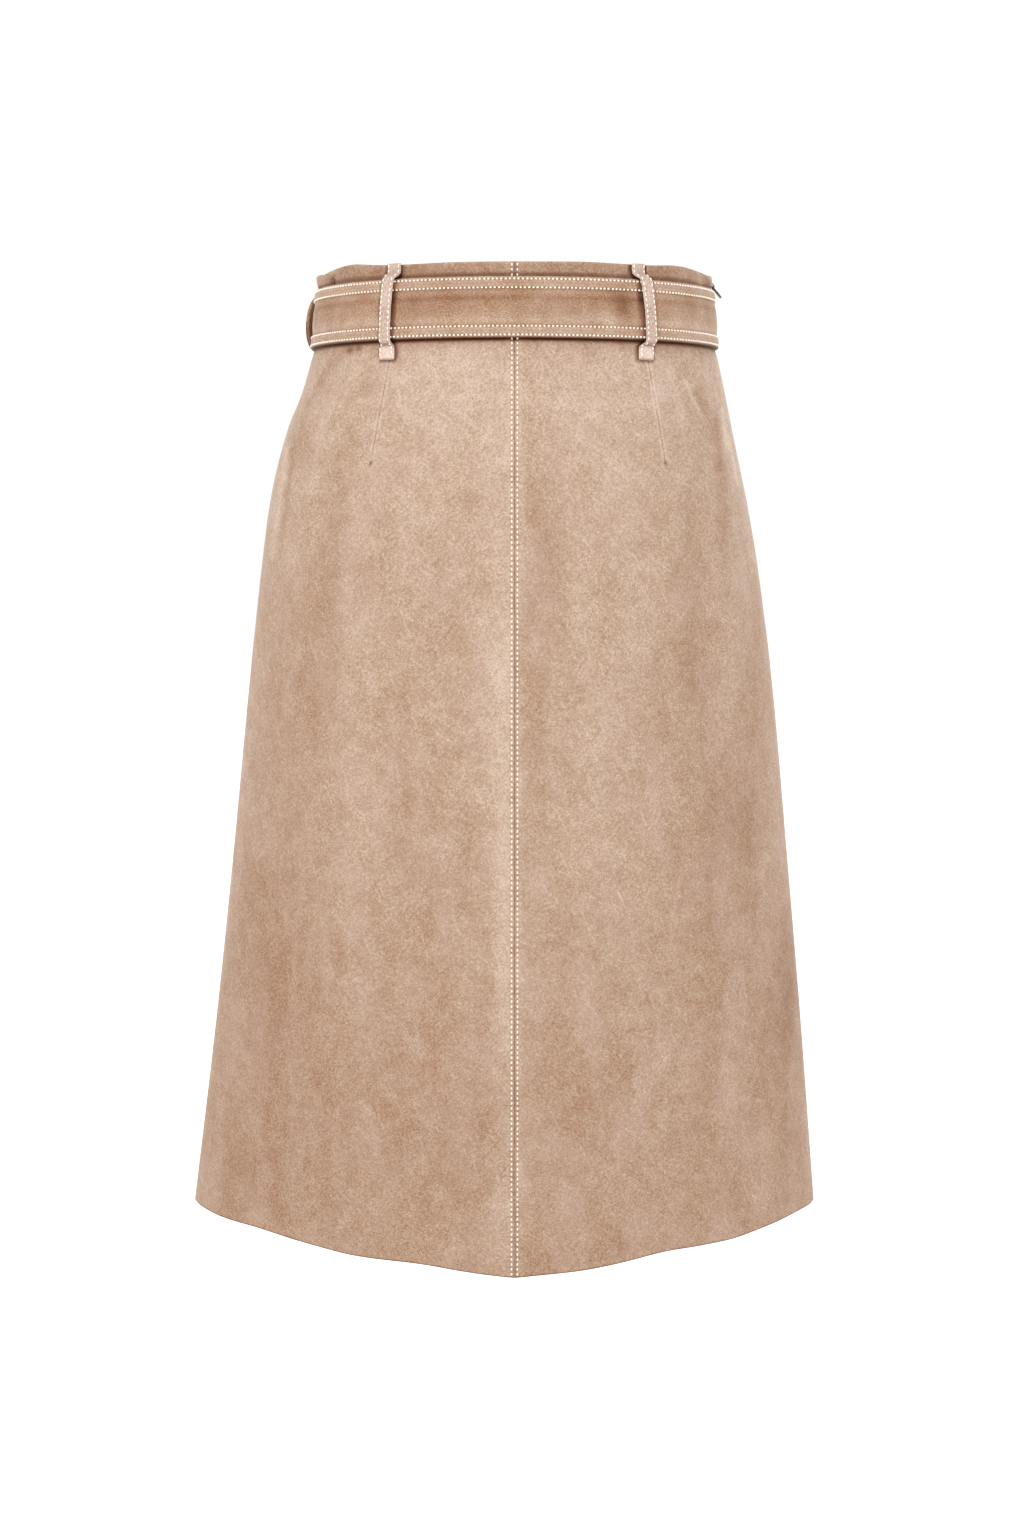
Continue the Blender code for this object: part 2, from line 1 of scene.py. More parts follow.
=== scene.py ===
"""The looks of a worn suede A-line skirt with its own belt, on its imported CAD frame.

Sizes are in millimetres, and points become metres as a mesh is made. The wearer's front faces
-Y, the wearer's left is +X, and the origin is the middle of the waist opening. An angle runs
from the wearer's left side (0) over the centre back (90) and the wearer's right (180) to the
centre front (270). A level is a distance out from the skirt's outer face.
"""

from collections import namedtuple
from math import hypot, radians

import bpy
import numpy as np
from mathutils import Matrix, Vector


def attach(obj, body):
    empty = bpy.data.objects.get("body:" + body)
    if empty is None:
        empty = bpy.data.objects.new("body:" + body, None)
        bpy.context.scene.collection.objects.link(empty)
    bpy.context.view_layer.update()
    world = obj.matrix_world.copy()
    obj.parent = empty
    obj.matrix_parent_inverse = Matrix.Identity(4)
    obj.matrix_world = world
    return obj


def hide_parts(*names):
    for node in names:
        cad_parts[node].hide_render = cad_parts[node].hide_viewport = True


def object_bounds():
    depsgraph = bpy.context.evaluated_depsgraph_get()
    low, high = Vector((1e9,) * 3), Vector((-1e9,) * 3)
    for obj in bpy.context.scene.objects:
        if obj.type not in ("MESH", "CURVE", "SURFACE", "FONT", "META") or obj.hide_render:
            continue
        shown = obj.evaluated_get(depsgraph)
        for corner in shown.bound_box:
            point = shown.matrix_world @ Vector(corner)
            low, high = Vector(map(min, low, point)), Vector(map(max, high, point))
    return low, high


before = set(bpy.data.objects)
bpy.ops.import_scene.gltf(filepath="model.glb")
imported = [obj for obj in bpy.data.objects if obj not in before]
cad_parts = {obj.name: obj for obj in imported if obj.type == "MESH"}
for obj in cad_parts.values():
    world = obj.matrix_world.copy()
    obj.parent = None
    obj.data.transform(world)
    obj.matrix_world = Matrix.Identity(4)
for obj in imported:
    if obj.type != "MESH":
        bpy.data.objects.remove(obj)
cad_low, cad_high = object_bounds()

MM = 0.001
BODY = "skirt"
LEFT, BACK, RIGHT, FRONT = 0.0, 90.0, 180.0, 270.0

def table(columns, *rows):
    """Rows of values that are read by the names of their columns."""
    row = namedtuple("Row", columns)
    return [row(*values) for values in rows]


# ---- the skirt's form, as the CAD panels have it
WALL = 1.4
HEM_DEPTH = 656.5
RIDGE_ROUND = 7.0
BACK_DIP, BACK_DIP_POWER = 10.0, 2.4
FRONT_DIP, FRONT_DIP_POWER = 4.0, 2.0

# One row for each level section: its depth below the top edge, its half widths on the wearer's
# left and right, its half depths behind and in front, and how far its quarters are drawn flat.
SECTIONS = np.array((
    (0, 137.6, 137.0, 99.0, 96.0, 0.0),
    (9, 135.0, 135.6, 97.5, 94.5, 0.0),
    (29, 136.4, 136.8, 98.3, 95.3, 0.0),
    (48, 138.4, 138.8, 100.0, 96.8, 0.0),
    (57, 141.0, 141.4, 102.5, 98.4, 0.0),
    (80, 148.2, 146.6, 110.0, 102.4, 0.02),
    (100, 156.6, 150.8, 116.0, 105.8, 0.05),
    (128, 165.2, 156.8, 122.5, 109.6, 0.08),
    (156, 171.3, 163.0, 127.0, 113.0, 0.10),
    (200, 177.6, 170.9, 131.5, 117.8, 0.14),
    (282, 187.3, 182.2, 135.5, 124.6, 0.19),
    (400, 200.0, 194.0, 138.5, 132.2, 0.25),
    (527, 214.9, 206.2, 141.5, 138.0, 0.31),
    (657, 232.0, 217.4, 143.5, 142.0, 0.36),
))


def section_at(z):
    """The sections read smoothly at heights z, without their depth."""
    depths = SECTIONS[:, 0]
    depth = np.clip(-z, depths[0], depths[-1])
    above = np.clip(np.searchsorted(depths, depth) - 1, 0, len(depths) - 2)
    later, earlier = np.r_[SECTIONS[1:], SECTIONS[-1:]], np.r_[SECTIONS[:1], SECTIONS[:-1]]
    slopes = (later - earlier) / (later[:, :1] - earlier[:, :1])
    start, end, leave, arrive = SECTIONS[above], SECTIONS[above + 1], slopes[above], slopes[above + 1]
    span = (end - start)[..., :1]
    t = (depth - start[..., 0])[..., None] / span
    value = start * (1 + 2 * t) * (1 - t) ** 2 + leave * span * t * (1 - t) ** 2
    value += end * t**2 * (3 - 2 * t) + arrive * span * t**2 * (t - 1)
    return value[..., 1:]


def straight_cosine(angle):
    """A triangle wave with the cosine's zeros, and peaks rounded as a seam's ridge is."""
    turned = np.abs((angle + 180) % 360 - 180)
    fall = np.hypot(np.minimum(turned, 180 - turned), RIDGE_ROUND) - RIDGE_ROUND
    return np.where(turned <= 90, 1, -1) * (1 - fall / (hypot(90, RIDGE_ROUND) - RIDGE_ROUND))


def skirt_point(angle, z):
    """Points of the skirt's plain form."""
    angle, z = np.broadcast_arrays(np.asarray(angle, float), np.asarray(z, float))
    left, right, back, front, flat = np.moveaxis(section_at(z), -1, 0)
    across, along = np.cos(np.radians(angle)), np.sin(np.radians(angle))
    flat = np.where(along >= 0, flat, flat * across**2)
    x = (1 - flat) * across + flat * straight_cosine(angle)
    y = (1 - flat) * along + flat * straight_cosine(angle - 90)
    x = x * np.where(across > 0, left, right)
    y = y * np.where(along > 0, back, front)
    return np.stack([x, y, z], axis=-1)


def unit(vectors):
    return vectors / np.maximum(np.linalg.norm(vectors, axis=-1, keepdims=True), 1e-9)


def outward(angle, z, step=1.5):
    """The level unit vectors that point out of the skirt."""
    along = skirt_point(angle + step, z) - skirt_point(angle - step, z)
    return unit(np.stack([along[..., 1], -along[..., 0], np.zeros_like(along[..., 0])], axis=-1))


def normal(angle, z, step=1.5):
    """The unit normals of the skirt's plain form."""
    along = skirt_point(angle + step, z) - skirt_point(angle - step, z)
    down = skirt_point(angle, z - step) - skirt_point(angle, np.minimum(z + step, 0))
    return unit(np.cross(down, along))


def off_skirt(angle, z, level):
    """Points at a level outside the skirt's form, at the same height."""
    return skirt_point(angle, z) + outward(angle, z) * np.asarray(level, float)[..., None]


def smoothstep(start, end, value):
    t = np.clip((value - start) / (end - start), 0, 1)
    return t * t * (3 - 2 * t)


def bell(value, width):
    return np.exp(-((value / width) ** 2))


HEM_WAVES = table(
    "angle width drop",
    (34, 9, -1.4),
    (58, 7, 1.3),
    (73, 6, -1.0),
    (104, 8, 1.2),
    (121, 6, -1.3),
    (139, 7, 1.2),
    (163, 8, -1.0),
    (208, 12, 1.6),
    (241, 10, -1.4),
    (292, 12, 1.4),
    (325, 9, -1.5),
)


def hem_height(angle):
    """The height of the cut hem. It dips at the centre back and wanders a little, as hides do."""
    turned = np.asarray(angle, float) % 360
    back = BACK_DIP * np.clip(1 - np.abs(turned - BACK) / 90, 0, 1) ** BACK_DIP_POWER
    front = FRONT_DIP * np.clip(1 - np.abs(turned - FRONT) / 90, 0, 1) ** FRONT_DIP_POWER
    height = -HEM_DEPTH - np.where(turned <= 180, back, front)
    for wave in HEM_WAVES:
        height = height - wave.drop * bell(turned - wave.angle, wave.width)
    return height


# ---- seams, darts and folds
SEAM_OPEN = 0.04  # between the sewn edges of two panels
ZIP_MOUTH_HALF, ZIP_MOUTH_FULL, ZIP_MOUTH_SHUT = 3.0, -9.5, -17.0
EDGE_ROUND, EDGE_DROP = 0.8, 0.38
TURNED_TOP, TURNED_THICK = 10.0, 0.9  # the top edge is turned in

DARTS = table(
    "front x_top x_tip top tip",
    (False, 80.5, 94.5, 52, 130),
    (False, -86.5, -99.5, 52, 130),
    (True, 79.5, 88.0, 52, 122),
    (True, -80.5, -90.0, 52, 124),
)

# Soft upright folds of the hanging suede: a ridge where the height is above 0, else a trough.
FOLDS = table(
    "front x lean top bottom width height",
    (False, 12, 0.0, 250, 660, 15, 0.9),
    (False, -52, -0.02, 150, 430, 24, 1.3),
    (False, -92, -0.05, 230, 660, 20, -0.8),
    (False, -120, -0.05, 140, 330, 15, -1.7),
    (False, -142, -0.04, 90, 260, 9, 1.3),
    (False, -151, -0.07, 300, 600, 16, -1.2),
    (False, 72, 0.02, 240, 470, 12, -0.9),
    (False, 104, 0.05, 180, 480, 20, 1.1),
    (False, 122, 0.04, 70, 260, 12, -1.3),
    (False, 152, 0.08, 360, 660, 26, -1.3),
    (True, 34, 0.03, 190, 560, 22, 1.1),
    (True, -28, -0.02, 260, 660, 20, -1.0),
    (True, 96, 0.06, 160, 520, 22, -1.2),
    (True, -88, -0.05, 140, 430, 24, 1.2),
    (True, 140, 0.07, 110, 400, 14, 1.2),
    (True, -136, -0.05, 120, 340, 14, -1.5),
)

# Short creases where the hips fill the cloth: from one point to another.
CREASES = table(
    "front x z to_x to_z width height",
    (False, -113, -76, -124, -98, 2.4, 0.7),
    (False, -120, -84, -130, -100, 4.0, -1.1),
    (False, -128, -108, -139, -152, 3.6, -1.0),
    (False, -137, -120, -147, -178, 3.0, 0.8),
    (False, -132, -66, -139, -82, 3.2, -0.8),
    (False, 131, -68, 146, -92, 5.0, -0.8),
    (False, 118, -88, 139, -104, 6.0, 0.7),
    (False, 140, -118, 157, -136, 6.0, -0.9),
    (False, 112, -56, 124, -62, 4.0, 0.6),
    (True, 118, -70, 134, -96, 4.5, -0.9),
    (True, 128, -112, 146, -140, 5.0, 0.8),
    (True, -112, -66, -128, -88, 4.0, -0.9),
    (True, -124, -104, -141, -150, 4.5, 0.8),
)

TOP_WAVES = table(
    "angle width rise",
    (37, 9, 2.2),
    (18, 6, -1.4),
    (143, 9, 1.6),
    (163, 6, -0.9),
    (60, 8, -0.4),
    (110, 9, 0.4),
    (236, 12, 0.6),
    (300, 12, -0.5),
)
TOP_WAVE_FALL = 7.0
NOTCH_ANGLE, NOTCH_Z = 24.5, -6.5  # where the turned top edge pinches on the wearer's left

# Bulges and dents of the soft top edge: their angle and width in degrees, and their height.
EDGE_BUMPS = table(
    "angle width z tall height",
    (NOTCH_ANGLE, 1.5, NOTCH_Z, 3.2, -2.6),
    (20.5, 2.4, -4, 5, 1.2),
    (11, 8, -6, 4.5, 1.5),
    (11, 9, 0, 2.2, -1.0),
    (164, 5, -4, 6, 0.7),
    (171, 7, -6, 4.5, 1.0),
    (171, 8, 0, 2.2, -0.9),
    (331, 7, -4, 5, 0.8),
    (204, 6, -5, 5, 0.7),
)


def top_wave(angle, z):
    """How far the soft top edge stands up or sinks, dying away down the cloth."""
    rise = sum(wave.rise * bell(angle % 360 - wave.angle, wave.width) for wave in TOP_WAVES)
    return rise * bell(z, TOP_WAVE_FALL)


def on_side(front, y):
    """1 on the front or back half that a feature lies on, falling to 0 on the other."""
    return smoothstep(-12, 12, -y if front else y)


def dart_x(dart, z):
    """Where a dart's line runs at height z."""
    share = np.clip((-z - dart.top) / (dart.tip - dart.top), 0, 3)
    return dart.x_top + (dart.x_tip - dart.x_top) * share


def segment_distance(x, z, crease):
    """The distance to the line of a crease or a streak."""
    run = np.array([crease.to_x - crease.x, crease.to_z - crease.z], float)
    share = np.clip(((x - crease.x) * run[0] + (z - crease.z) * run[1]) / (run @ run), 0, 1)
    return np.hypot(x - crease.x - share * run[0], z - crease.z - share * run[1])


def mouth_width(z):
    """How far each panel stands back from the zip's line."""
    share = smoothstep(ZIP_MOUTH_SHUT, ZIP_MOUTH_FULL, z)
    return SEAM_OPEN / 2 + (ZIP_MOUTH_HALF - SEAM_OPEN / 2) * share


def edge_fall(distance):
    """How far a cut or turned edge rounds away, at a distance from it."""
    inside = np.clip(EDGE_ROUND - distance, 0, EDGE_ROUND)
    return EDGE_DROP * (1 - np.sqrt(1 - (inside / EDGE_ROUND) ** 2))


def drape(angle, z):
    """The height of the cloth's soft folds and creases over the plain form."""
    x, y, _ = np.moveaxis(skirt_point(angle, z), -1, 0)
    height = np.zeros_like(x)
    for fold in FOLDS:
        middle = fold.x + fold.lean * (-z - fold.top)
        length = smoothstep(fold.top, fold.top + 90, -z)
        length = length * smoothstep(fold.bottom + 60, fold.bottom - 60, -z)
        height += fold.height * bell(x - middle, fold.width) * length * on_side(fold.front, y)
    for crease in CREASES:
        away = segment_distance(x, z, crease)
        height += crease.height * bell(away, crease.width) * on_side(crease.front, y)
    for bump in EDGE_BUMPS:
        height += bump.height * bell(angle - bump.angle, bump.width) * bell(z - bump.z, bump.tall)
    return height


def relief(angle, z):
    """The height of the outer face over the plain form, with its seams, darts and edges."""
    x, y, _ = np.moveaxis(skirt_point(angle, z), -1, 0)
    height = drape(angle, z)
    behind = on_side(False, y)
    centre = np.abs(x) - SEAM_OPEN / 2
    height += behind * (0.4 * smoothstep(11, 7.5, centre) - edge_fall(centre))
    height -= behind * 0.16 * bell(np.abs(x) - stitch_offset(z), 0.55)
    left_side, right_side = smoothstep(-10, 10, x), smoothstep(10, -10, x)
    left_edge = np.abs(y) - SEAM_OPEN / 2
    right_edge = np.abs(y) - mouth_width(z)
    height += left_side * (0.3 * smoothstep(10, 6, left_edge) - edge_fall(left_edge))
    height += right_side * (0.3 * smoothstep(10, 6, right_edge) - edge_fall(right_edge))
    for dart in DARTS:
        away = x - dart_x(dart, z)
        sewn = smoothstep(dart.tip + 2, dart.tip - 16, -z)
        line = 0.3 * bell(away, 5) - 0.4 * bell(away, 0.45)
        bulge = 0.5 * bell(away, 9) * bell(-z - dart.tip - 10, 16)
        height += (line * sewn + bulge) * on_side(dart.front, y)
    return height - edge_fall(-z) - edge_fall(z - hem_height(angle))


def cloth_point(angle, z):
    """Points on the draped outer face."""
    return skirt_point(angle, z) + normal(angle, z) * relief(angle, z)[..., None]


# ---- meshes
def add_mesh(name, points, faces, finish, tone=0.0, cloth=None, node=None):
    """A shown piece from points in millimetres, with what its material reads at each point.

    tone is how much lighter or darker each point is painted, with painted light and shade among it; cloth
    is where each point lies in its cloth, and node is the CAD node that it stands for.
    """
    mesh = bpy.data.meshes.new(name)
    mesh.from_pydata((np.asarray(points) * MM).tolist(), [], [list(face) for face in faces])
    mesh.update()
    mesh.polygons.foreach_set("use_smooth", np.ones(len(mesh.polygons), bool))
    layer = mesh.attributes.new("tone", "FLOAT", "POINT")
    layer.data.foreach_set("value", np.full(len(points), tone, np.float32))
    layer = mesh.attributes.new("cloth", "FLOAT_VECTOR", "POINT")
    laid = np.asarray(points if cloth is None else cloth, np.float32)
    layer.data.foreach_set("vector", laid.ravel())
    mesh.materials.append(finish)
    piece = bpy.data.objects.new(name, mesh)
    bpy.context.scene.collection.objects.link(piece)
    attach(piece, BODY)
    if node:
        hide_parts(node)
    return piece


def grid_faces(rows, columns, first=0):
    """The four-sided faces of a grid of points, numbered row by row from first."""
    row, column = np.meshgrid(np.arange(rows - 1), np.arange(columns - 1), indexing="ij")
    corner = (first + row * columns + column).ravel()
    return np.stack([corner, corner + 1, corner + columns + 1, corner + columns], axis=1)


def shell_faces(rows, columns):
    """The faces of an outer grid, an inner grid after it, and the rim between them."""
    outer = grid_faces(rows, columns)
    inner = grid_faces(rows, columns, rows * columns)[:, ::-1]
    index = np.arange(rows * columns).reshape(rows, columns)
    rim = np.r_[index[0, :-1], index[:-1, -1], index[-1, :0:-1], index[:0:-1, 0]]
    after = np.roll(rim, -1)
    side = np.stack([rim, rim + rows * columns, after + rows * columns, after], axis=1)
    return np.r_[outer[:, ::-1], inner[:, ::-1], side]


def tube_faces(rings, count):
    """The faces of a closed body through rings of count points, with a cap at each end."""
    ring, point = np.meshgrid(np.arange(rings - 1), np.arange(count), indexing="ij")
    near, turn = (ring * count + point).ravel(), (ring * count + (point + 1) % count).ravel()
    sides = np.stack([near, turn, turn + count, near + count], axis=1).tolist()
    last = (rings - 1) * count
    return [*sides, list(range(count))[::-1], list(range(last, last + count))]


def add_tube(name, rings, finish, tone, laid, node):
    """A shown closed body through rings of points, each with its tone and place in the cloth."""
    faces = tube_faces(len(rings), rings.shape[1])
    tone = np.broadcast_to(tone, rings.shape[:2]).ravel()
    return add_mesh(name, rings.reshape(-1, 3), faces, finish, tone, laid.reshape(-1, 3), node)


def cloth_places(across, along, shift):
    """Where points lie in their cloth. The shift keeps each piece's grain its own."""
    across, along = np.broadcast_arrays(across, along)
    return np.stack([across, along, np.full(across.shape, float(shift))], axis=-1)


def arc_lengths(points):
    """How far along a line each of its points lies."""
    return np.r_[0, np.cumsum(np.linalg.norm(np.diff(points, axis=0), axis=1))]


def read_along(places, arcs, values):
    """Points or ways at places along a line, from those known at its arcs."""
    return np.stack([np.interp(places, arcs, values[:, k]) for k in range(3)], axis=-1)


def degree_length(angle, z):
    """How long one degree round the skirt is."""
    return np.linalg.norm(skirt_point(angle + 0.5, z) - skirt_point(angle - 0.5, z), axis=1)


def smooth_rows(rows, step):
    """A smooth curve through rows of numbers, with points about a step of the first apart."""
    curve = []
    for k in range(len(rows) - 1):
        near = (rows[min(max(k + j, 0), len(rows) - 1)] for j in (-1, 0, 1, 2))
        before, start, end, after = (np.array(row, float) for row in near)
        count = max(1, round(abs(end[0] - start[0]) / step))
        for t in np.arange(count) / count:
            twice = 2 * start + (end - before) * t
            twice = twice + (2 * before - 5 * start + 4 * end - after) * t**2
            twice = twice + (3 * start - before - 3 * end + after) * t**3
            curve.append(twice / 2)
    return [*curve, np.array(rows[-1], float)]


# ---- belt and loop places
BELT_TOP, BELT_BOTTOM = -9.2, -48.8
BELT_THICK, BELT_STAND_OFF, LAYER_GAP = 2.4, 0.6, 0.4
LOOP_THICK, LOOP_END_THICK = 1.5, 2.6
LOOP_GAP, LOOP_BELT_GAP = 0.4, 0.75
ON_SKIRT, ON_SKIRT_FOLDED = LOOP_GAP + LOOP_THICK / 2, LOOP_GAP + LOOP_END_THICK / 2
OVER_BELT = BELT_STAND_OFF + BELT_THICK + LOOP_BELT_GAP + LOOP_THICK / 2
LOOP_STITCH_INSET = 1.25

# One row for each bend of a loop's strap, from its top end: its height, its middle's level over
# one layer of belt, how much of its sideways lean it has there, its width and its thickness.
LOOP_ROWS = (
    (0.7, ON_SKIRT, 0.0, 9.9, LOOP_THICK),
    (-3.0, ON_SKIRT, 0.0, 9.9, LOOP_THICK),
    (-5.6, ON_SKIRT + 0.1, 0.06, 9.9, LOOP_THICK),
    (-7.3, 2.7, 0.2, 9.6, LOOP_THICK),
    (-8.8, OVER_BELT + 0.1, 0.42, 9.0, LOOP_THICK),
    (-14.0, OVER_BELT + 0.3, 0.6, 8.7, LOOP_THICK),
    (-28.0, OVER_BELT + 0.3, 0.85, 8.6, LOOP_THICK),
    (-44.0, OVER_BELT + 0.1, 1.0, 8.6, LOOP_THICK),
    (-49.0, OVER_BELT - 0.1, 1.0, 8.6, LOOP_THICK),
    (-50.9, 2.7, 1.0, 8.9, LOOP_THICK),
    (-52.4, ON_SKIRT + 0.3, 1.0, 10.2, LOOP_THICK),
    (-54.5, ON_SKIRT_FOLDED, 1.0, 11.2, LOOP_END_THICK),
    (-61.0, ON_SKIRT_FOLDED, 1.0, 11.2, LOOP_END_THICK),
    (-61.9, ON_SKIRT_FOLDED, 1.0, 10.4, 1.6),
)

# A loop leans sideways down to the belt's lower edge, and its folded end is sewn on at end_lean.
LOOPS = table(
    "name x front lean end_lean layers",
    ("back_loop_left", 78.5, False, 5.2, 4.9, 1),
    ("back_loop_right", -80.9, False, -7.4, -5.2, 1),
    ("front_loop_left", 80.0, True, 0.5, 0.6, 2),
    ("front_loop_right", -80.0, True, -0.5, -0.6, 1),
)


def loop_middle(loop, z):
    """How far sideways a loop's middle lies at height z."""
    rows = np.array(LOOP_ROWS)
    lean = loop.lean * np.interp(-z, -rows[:, 0], rows[:, 2])
    return loop.x + lean + (loop.end_lean - loop.lean) * smoothstep(-50, -53.5, z)


LOOP_SHADE, LOOP_SHADE_FALL = -1.8, 1.1


def loop_shade(x, y, z):
    """How the belt loops darken what lies close beside and below them."""
    rows = np.array(LOOP_ROWS)
    shade = np.zeros(np.broadcast(x, z).shape)
    for loop in LOOPS:
        middle = loop_middle(loop, z)
        half = np.interp(-z, -rows[:, 0], rows[:, 3]) / 2
        beside = bell(np.maximum(np.abs(x - middle) - half, 0), LOOP_SHADE_FALL)
        shade += beside * smoothstep(-63.6, -62.4, z) * on_side(loop.front, y)
    return shade * LOOP_SHADE


# ---- broad tones: the nap's own, with painted light and shade
# Broad patches painted lighter (above 0) or darker: the nap's own uneven tone, and in places painted
# light and shade where the hips' folds and the belt's shadow fall: middle, half widths and strength.
PATCHES = table(
    "front x z wide tall amount",
    (False, 45, -84, 46, 36, 0.16),
    (False, 12, -105, 16, 60, 0.1),
    (False, -62, -96, 52, 40, 0.18),
    (False, 11, -325, 9, 80, 0.3),
    (False, 10, -455, 9, 60, 0.22),
    (False, 10, -618, 10, 38, 0.3),
    (False, 7, -420, 6, 200, 0.42),
    (False, 18, -265, 14, 50, 0.22),
    (False, -21, -197, 12, 45, -0.34),
    (False, -76, -250, 13, 110, 0.2),
    (False, -200, -480, 20, 70, -0.6),
    (False, 170, -400, 45, 120, -0.2),
    (False, -140, -361, 14, 50, -0.28),
    (False, -52, -300, 18, 135, 0.3),
    (False, -32, -392, 30, 40, 0.16),
    (False, -120, -240, 12, 90, -0.34),
    (False, -160, -362, 14, 55, -0.4),
    (False, -184, -520, 14, 26, -0.22),
    (False, -128, -420, 24, 60, -0.16),
    (False, 160, -500, 36, 72, -0.34),
    (False, 172, -612, 44, 30, -0.26),
    (False, 72, -325, 6, 55, -0.2),
    (False, 118, -150, 10, 66, -0.26),
    (False, 146, -114, 9, 16, -0.34),
    (False, 105, -280, 15, 86, 0.16),
    (False, 166, -268, 14, 60, -0.18),
    (False, -168, -262, 11, 60, -0.34),
    (False, 135, -245, 36, 60, -0.22),
    (False, -60, -590, 50, 50, 0.12),
    (False, 70, -570, 60, 50, -0.12),
    (False, -124, -92, 7, 12, -0.15),
    # The next two are dark spots of painted shade in the shadow under the belt.
    (False, 110, -54.5, 2.6, 2.6, -1.4),
    (False, 104, -53.5, 2.2, 2.2, -1.2),
    (False, 119, -61, 5, 5, -0.5),
    (False, 93, -80, 7, 6, -0.5),
    (False, -96, -82, 3, 7, 0.6),
    (False, 60, -74, 30, 10, 0.2),
    (False, -139, -150, 5, 40, -0.34),
    (True, -40, -90, 48, 38, 0.28),
    (True, 58, -110, 44, 46, 0.24),
    (True, 24, -300, 20, 120, 0.26),
    (True, -64, -360, 18, 110, 0.18),
    (True, 118, -250, 13, 90, -0.36),
    (True, -128, -220, 14, 80, -0.32),
    (True, 150, -480, 30, 70, -0.34),
    (True, -158, -520, 34, 76, -0.36),
    (True, 10, -590, 70, 50, -0.14),
)

# Narrow lines painted lighter or darker, most as painted highlight and shade along the hips' creases and
# the folds by the zip: from one point to another, how wide and how light or dark.
STREAKS = table(
    "front x z to_x to_z width amount",
    (False, -124, 1, -126, -8, 2.4, 0.8),
    (False, -113, -74, -124, -93, 1.6, 0.75),
    (False, -123, -82, -130, -94, 2.6, -0.6),
    (False, -142, -92, -145, -119, 1.8, 0.7),
    (False, -136, -100, -138, -135, 3.0, -0.5),
    (False, -147, -110, -153, -142, 1.8, 0.6),
    (False, -104, -68, -112, -104, 4.0, 0.35),
    (False, -90, -76, -93, -92, 1.5, 0.55),
    (False, 157, -118, 166, -190, 2.6, 0.45),
    (False, 151, -118, 158, -180, 1.8, -0.45),
    (False, 126, -64, 140, -86, 3.0, -0.4),
    (False, 120, -90, 134, -112, 3.0, 0.35),
    (False, 40, -96, 22, -108, 1.6, 0.4),
    (False, 34, -112, 12, -118, 1.6, 0.3),
    (True, 118, -70, 132, -100, 2.4, 0.45),
    (True, -116, -72, -130, -104, 2.6, -0.45),
    (True, 40, -130, 26, -176, 2.0, 0.35),
)

WAIST_SHADE = -0.85  # painted shade above the belt
BELT_SHADE, BELT_SHADE_FALL = -3.2, 1.9  # right under the belt's lower edge
UNDER_BELT_SHADE, UNDER_BELT_FALL = -0.5, 7  # painted shade, softer and wider, below the belt
# A painted highlight along the skirt's rounded top edge.
TOP_EDGE_HIGHLIGHT, TOP_EDGE_FALL = 0.35, 1.2
LENGTH_SHADE, MAIN_TONE = -0.56, 0.16  # painted shade gained down to the hem as the light from above weakens, and a lift all over
BACK_SEAM_SHADE, SEAM_LINE = -0.95, 0.5  # painted shade in the gap of the centre back seam
THREAD_SHADE, THREAD_FALL = -0.5, 0.6  # painted shade in the sunken lines under its two rows of stitches
# Painted shade in each side seam's gap.
SIDE_SEAM_SHADE, SIDE_SEAM_LINE = -0.7, 0.6
# Painted shade in each dart's sunken line and at its tip.
DART_SHADE, DART_LINE, DART_TIP_SHADE = -0.6, 0.4, -2.1
# Painted shade in the pinch of the top edge.
NOTCH_SHADE = -1.1
# Painted shade along the hem's rounded lower edge.
HEM_SHADE, HEM_FALL = -1.7, 0.8


